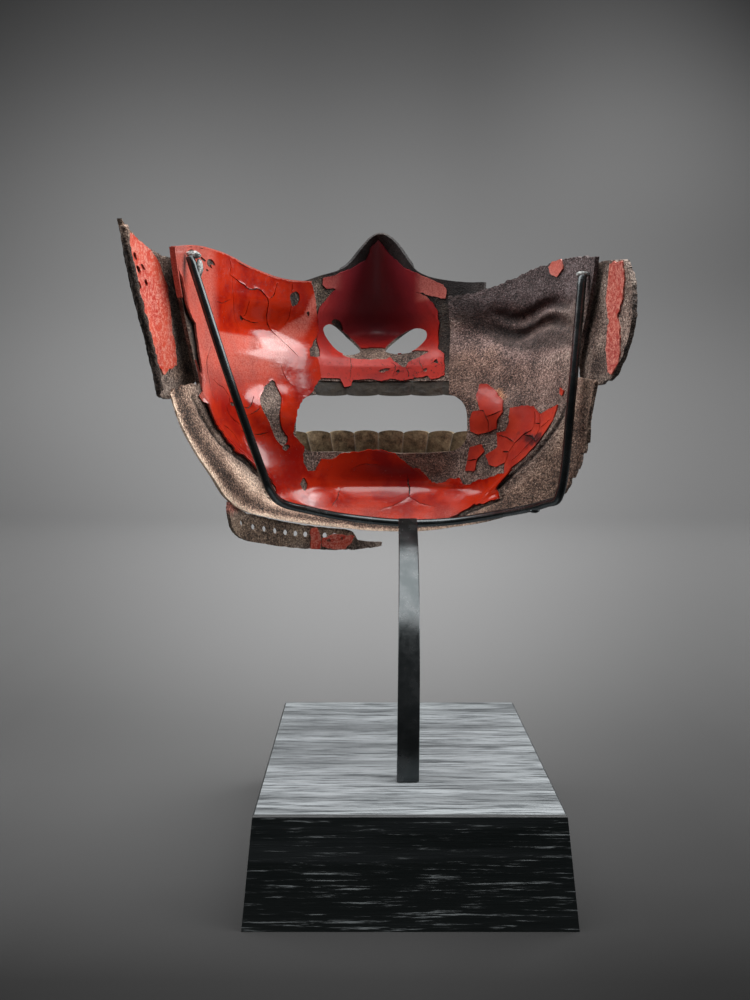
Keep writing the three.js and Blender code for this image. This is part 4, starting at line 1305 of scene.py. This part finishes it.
LEFT_LIFTS = [
    ([(0.1, 3.5), (0.8, 6.2), (1.5, 6.6), (1.35, 10.2), (1.1, 12)], 2.2, 1.0),
    ([(0.65, 16), (2, 16), (3.1, 15.6), (4.35, 15.8)], 1.6, 1.1),
    ([(10.1, 16.4), (11, 15.9), (12.4, 15.5)], 1.6, 0.7),
    ([(9.4, 13.6), (10.3, 13.9), (9, 12.6)], 1.2, 0.35),
]
film("lacquer_left", plate, away_from_middle, PLATE_STEP, [LEFT_LACQUER], RED_LACQUER, "face_plate",
    (1 / 22, 1 / 9),
     LEFT_CHIPS, LEFT_CRACKS, LEFT_LIFTS, 40, tone=left_dark, dust=left_dust)


def band_over(name, place, loop, seed):
    """Lacquer wrapped over the whole thickness of an edge of the plate."""
    made = Sheet(place, away_from_middle, PLATE_STEP,
        [chipped(place, loop, 0.06, 3, PLATE_STEP, seed, 0.5)], (), 0.5, (1 / 20, 0.05), seed)
    # The pale colour given here is a painted highlight.
    marks = {"tone": np.zeros(len(made.flat)), "dust": np.full(len(made.flat), 0.9),
        "worn": np.zeros(len(made.flat))}
    made.solid(name, RED_LACQUER, "face_plate", np.full(1, -FILM), np.full(1, THICKNESS + 0.12), marks)


STATION_WIDTH = 9  # mm that one station below 0 stands for


def past_left(at, row):
    """The plate's surface carried on a little past its left end, for stations below 0."""
    first = plate(np.zeros_like(at), row)
    along = first - plate(np.full_like(at, 0.3), row)
    along /= np.maximum(np.linalg.norm(along, axis=-1, keepdims=True), 1e-9)
    past = first - STATION_WIDTH * at[..., None] * along
    return np.where((at < 0)[..., None], past, plate(np.maximum(at, 0), row))


# The lacquer also wraps over the cheek's upper edge and its left end, where it catches the light. Its pale
# colour there is a painted highlight.
band_over("lacquer_edge_top", plate, rectangle(0.15, -0.1, 6.62, 0.03), 71)
band_over("lacquer_edge_left", past_left, rectangle(-0.05, -0.05, 0.12, 5.6), 72)


def right_stain(points):
    """A dark stain on the far flake of the right cheek."""
    x, z = points[:, 0], points[:, 2]
    far = np.hypot((x - 51.5) / 5, (z - 151.5) / 2.8)
    return np.clip(1 - ramp(far + 0.5 * noise(points, 2, 15, 2), 0.4, 1.2), 0, 1)


def right_dust(points):
    """The small flake at the cheek's top is dull."""
    return ramp(points[:, 2], 208, 212)


film("lacquer_right", plate, away_from_middle, PLATE_STEP, RIGHT_LACQUER, FLAKE_LACQUER, "face_plate",
     (1 / 22, 1 / 9), (), RIGHT_CRACKS, (), 90, curl=0.1, edge=0.25, tone=right_stain, straight=True,
     dust=right_dust)


def nose_dark(points):
    """Deep maroon in the hollow of the nose, red again round the nostrils and below them."""
    x, z = points[:, 0], points[:, 2]
    middle = hump(x - NOSE_PLATE["middle"], 34)
    return ramp(z, 186, 208) * (0.35 + 0.65 * middle) * (1 - 0.55 * ramp(x, 8,
        20) * (1 - ramp(z, 205, 216)))


def nose_dust(points):
    """Dull, pale lacquer on the nose's sides and on the rim below the nostrils."""
    x, z = points[:, 0], points[:, 2]
    wing = ramp(x, 7, 12) * ramp(z, 212, 214)
    left = 0.5 * (1 - ramp(x, -30, -24)) * ramp(z, 217, 219)
    rim = 0.8 * hump(x - 9, 9) * hump(z - 190.5, 2.2)
    return np.clip(wing + left + rim, 0, 1) * 0.9


def nose_worn(points):
    """The upper lip is worn, most towards the right."""
    return (1 - ramp(points[:, 2], 184, 188)) * (0.45 + 0.55 * ramp(points[:, 0], -15, 5))


NOSE_LACQUER = [
    (-34, 222.2), (-28, 224.3), (-21, 228.2), (-18, 230.5), (-14.3, 233), (-12.5, 238), (-9, 241),
    (-7, 239.5),
    (-4, 235.4), (0, 231.3), (3, 228.3), (8, 225.2), (13.5, 222.6), (20, 219.4), (21.8, 216.5), (21.3, 213),
    (15, 214.6), (8.5, 217.3), (13, 214.4), (15.5, 211.5), (18, 207.3), (18.6, 202.4), (18.4, 190.6),
    (20.6, 188.2),
    (20.7, 178.3), (17, 177.3), (14.7, 176.7), (13.4, 178.4), (8, 177.4), (2, 176.4), (-3.6, 177.2),
    (-7.3, 175.9),
    (-12.5, 177), (-20.5, 177), (-21.6, 174.2), (-24.4, 173.4), (-26, 177.3), (-34, 177.2), (-38, 177.6),
    (-38, 186.4), (-35.4, 187), (-35.7, 190), (-37.2, 194), (-36.6, 200), (-36.6, 204.6), (-35.7, 209),
    (-32, 214),
    (-28.6, 218), (-32.8, 217.7), (-34, 219.4),
]
NOSE_CHIPS = [
    [(-31, 203.8), (-29.3, 205.6), (-26.7, 204.5), (-26.3, 201), (-29.5, 201.8)],
    [(-23.5, 190), (-25.5, 188.2), (-22, 186.6), (-16, 186), (-6.3, 186.1), (-3.5, 187.2), (0, 189),
    (-5.8, 191.9),
     (-16.5, 191.9)],
    [(-4, 188), (0.9, 183.3), (3.2, 182.6), (5.5, 184.9), (10, 187), (14, 189.6), (8, 190.2), (2, 189)],
    [(-9, 180.7), (-6.3, 181.6), (-3.2, 182.2), (-5.5, 180.3)],
    [(11, 180.5), (12.5, 182), (13, 180.2)],
    [(-1, 180.5), (0.5, 181.3), (0.6, 180)],
    [(16, 184.5), (17.5, 186), (18, 184)],
]
NOSE_CRACKS = [
    ([(-21.9, 187), (-21.4, 182), (-21.8, 177.5)], 0.3),
    ([(3, 182.8), (5, 180), (4.5, 177.8)], 0.35),
    ([(9.5, 187), (10.5, 183), (13, 180)], 0.35),
    ([(-3, 185.5), (-1, 182.5), (-2, 178.5)], 0.25),
]
film("lacquer_nose", nose, away_from_middle, NOSE_STEP, [NOSE_LACQUER], NOSE_RED, "nose_plate", (0.6, 0.6),
     NOSE_CHIPS, NOSE_CRACKS, (), 120, cuts=nostrils, edge=0.3, tone=nose_dark, dust=nose_dust,
     worn=nose_worn, curl=0.06)

EAR_LEFT_LACQUER = [
    (0.93, 0.17), (0.85, 0.06), (0.7, 0.05), (0.55, 0.06), (0.45, 0.3), (0.38, 0.76), (0.36, 1.57),
    (0.38, 2.3), (0.42, 3),
    (0.7, 3.35), (0.87, 3.2), (0.95, 2.9), (0.96, 2.3), (0.96, 1.5), (0.96, 0.9), (0.95, 0.5),
]
EAR_LEFT_CHIPS = [
    [(0.86, 0.5), (0.91, 0.56), (0.9, 0.68), (0.86, 0.66)],
    [(0.85, 0.78), (0.89, 0.84), (0.87, 0.98), (0.83, 0.9)],
    [(0.76, 0.63), (0.8, 0.7), (0.77, 0.8), (0.73, 0.74)],
    [(0.9, 1.2), (0.94, 1.28), (0.92, 1.4), (0.87, 1.32)],
    [(0.75, 1), (0.79, 1.08), (0.77, 1.2), (0.73, 1.12)],
]
film("lacquer_ear_left", ear(EAR_LEFT), sideways, EAR_STEP, [EAR_LEFT_LACQUER], PINK_LACQUER, "flanges",
    (0.018, 0.045),
     EAR_LEFT_CHIPS, (), (), 150)
EAR_RIGHT_LACQUER = [
    [(0.62, 0.1), (0.92, 0.08), (0.88, 0.8), (0.82, 1.5), (0.74, 1.98), (0.76, 2.1), (0.8, 2.3),
    (0.86, 2.8), (0.97, 3.5),
     (0.9, 3.85), (0.72, 3.7), (0.6, 3), (0.58, 2.3), (0.6, 2.12), (0.57, 2), (0.53, 1.4), (0.56, 0.8)],
]
film("lacquer_ear_right", ear(EAR_RIGHT), sideways, EAR_STEP, EAR_RIGHT_LACQUER, PINK_LACQUER, "flanges",
    (0.03, 0.05),
     (), (), (), 170, tone=lambda points: np.full(len(points), 0.55))
STRIP_LACQUER = [
    [(-37.5, 0.1), (-35, 0.05), (-33.8, 0.4), (-33.4, 0.95), (-37.5, 0.96)],
    [(-32.8, 0.5), (-27.5, 0.25), (-23.3, 0.3), (-19.3, 0.15), (-20.4, 0.6), (-23.3, 0.93), (-27.5, 0.93),
    (-32.8, 0.85)],
]
film("lacquer_throat", strip, away_from_middle, STRIP_STEP, STRIP_LACQUER, PINK_LACQUER, "flanges",
    (0.55, 0.06),
     [[(-31, 0.55), (-29.8, 0.45), (-29.6, 0.62)], [(-25.5, 0.4), (-24.2, 0.36), (-24.6, 0.55)]], (), (),
     180, edge=0.4)


# ---- Floor, light and camera ----


EYE = np.array([-12.5, -309, 164])  # where the camera stands, in mm
SHADE_DOWN = table(
    "v share",
    (-0.75, 0.08), (-0.7, 0.13), (-0.6, 0.26), (-0.48, 0.42), (-0.36, 0.62), (-0.24, 0.9),
    (-0.13, 1.25), (0, 1.3), (0.13, 1.2), (0.25, 1.15), (0.35, 0.95), (0.42, 0.78), (0.5, 0.66),
)


def backdrop():
    """A grey sweep. Its shade is set point by point for how far each lies from the camera's middle line, so
    that the main view has the photo's background. From other sides it shows bands."""
    m = Nodes("backdrop")
    shade = m.value("shade")
    m.put(m.shader.inputs["Base Color"], m.mix(shade, (0, 0, 0), (0.4, 0.4, 0.4)))
    m.shader.inputs["Roughness"].default_value = 0.95
    m.shader.inputs["Specular IOR Level"].default_value = 0.1
    profile = [(y, 0.0) for y in (*np.arange(-1600, -200, 200), *np.arange(-200, 900, 25))]
    profile += [(900 + 600 * math.sin(a), 600 - 600 * math.cos(a)) for a in np.linspace(0, math.pi / 2, 30)]
    profile += [(1500, z) for z in np.arange(650, 2600, 50)]
    across = np.arange(-2600, 2601, 40)
    points = np.array([(x, y, z) for y, z in profile for x in across], float)
    deep = np.maximum(points[:, 1] - EYE[1], 20)
    side, up = (points[:, 0] - EYE[0]) / deep, (points[:, 2] - EYE[2]) / deep
    share = smooth(SHADE_DOWN, "v", up, "share") * (1 - 0.5 * ramp(np.abs(side + 0.02), 0.02, 0.5))
    upper, lower = ramp(up, -0.2, 0.1), ramp(-up, 0.35, 0.5)
    left, right = ramp(-side, 0.05, 0.45), ramp(side, 0.1, 0.45)
    share *= 1 + left * (0.85 * upper + 0.45 * lower) + right * (0.4 * upper + 1.3 * ramp(up, 0.15, 0.45))
    share *= 1 - 0.2 * ramp(-up, 0.6, 0.7)
    n = len(across)
    faces = [
        (i * n + j, i * n + j + 1, (i + 1) * n + j + 1, (i + 1) * n + j)
        for i in range(len(profile) - 1)
        for j in range(n - 1)
    ]
    mesh = bpy.data.meshes.new("floor")
    mesh.from_pydata([tuple(p) for p in points * MM], [], faces)
    mesh.polygons.foreach_set("use_smooth", [True] * len(faces))
    layer = mesh.attributes.new("shade", "FLOAT", "POINT")
    layer.data.foreach_set("value", (share / 2).astype(np.float32))
    mesh.materials.append(m.material)
    floor = bpy.data.objects.new("floor", mesh)
    bpy.context.scene.collection.objects.link(floor)


def soft_light(name, place, target, width, height, power, colour=(1, 1, 1)):
    data = bpy.data.lights.new(name, "AREA")
    data.shape = "RECTANGLE"
    data.size, data.size_y = width, height
    data.energy = power
    data.color = colour
    light = bpy.data.objects.new(name, data)
    light.location = place
    light.rotation_euler = (Vector(target) - Vector(place)).to_track_quat("-Z", "Y").to_euler()
    bpy.context.scene.collection.objects.link(light)
    return light


backdrop()
soft_light("ceiling", (0, -0.1, 1.15), (0, -0.1, 0), 1.9, 1.3, 30)
soft_light("left_wall", (-1.1, 0, 0.85), (0, 0, 0.2), 1.1, 0.8, 10)
soft_light("right_wall", (1.1, 0.1, 0.85), (0, 0, 0.2), 1.4, 0.9, 22)

world = bpy.data.worlds.new("world")
world.use_nodes = True
world.node_tree.nodes["Background"].inputs[0].default_value = (0.8, 0.82, 0.85, 1)
world.node_tree.nodes["Background"].inputs[1].default_value = 0.1
bpy.context.scene.world = world
bpy.context.scene.view_settings.view_transform = "Standard"

lens = bpy.data.cameras.new("camera")
lens.sensor_width = 36
lens.lens = 29.45
lens.shift_x = 0.0045
lens.shift_y = -0.092
lens.clip_start, lens.clip_end = 0.01, 20
camera = bpy.data.objects.new("camera", lens)
camera.location = (-0.0125, -0.309, 0.164)
camera.rotation_euler = (math.pi / 2, 0, 0)
bpy.context.scene.collection.objects.link(camera)
bpy.context.scene.camera = camera
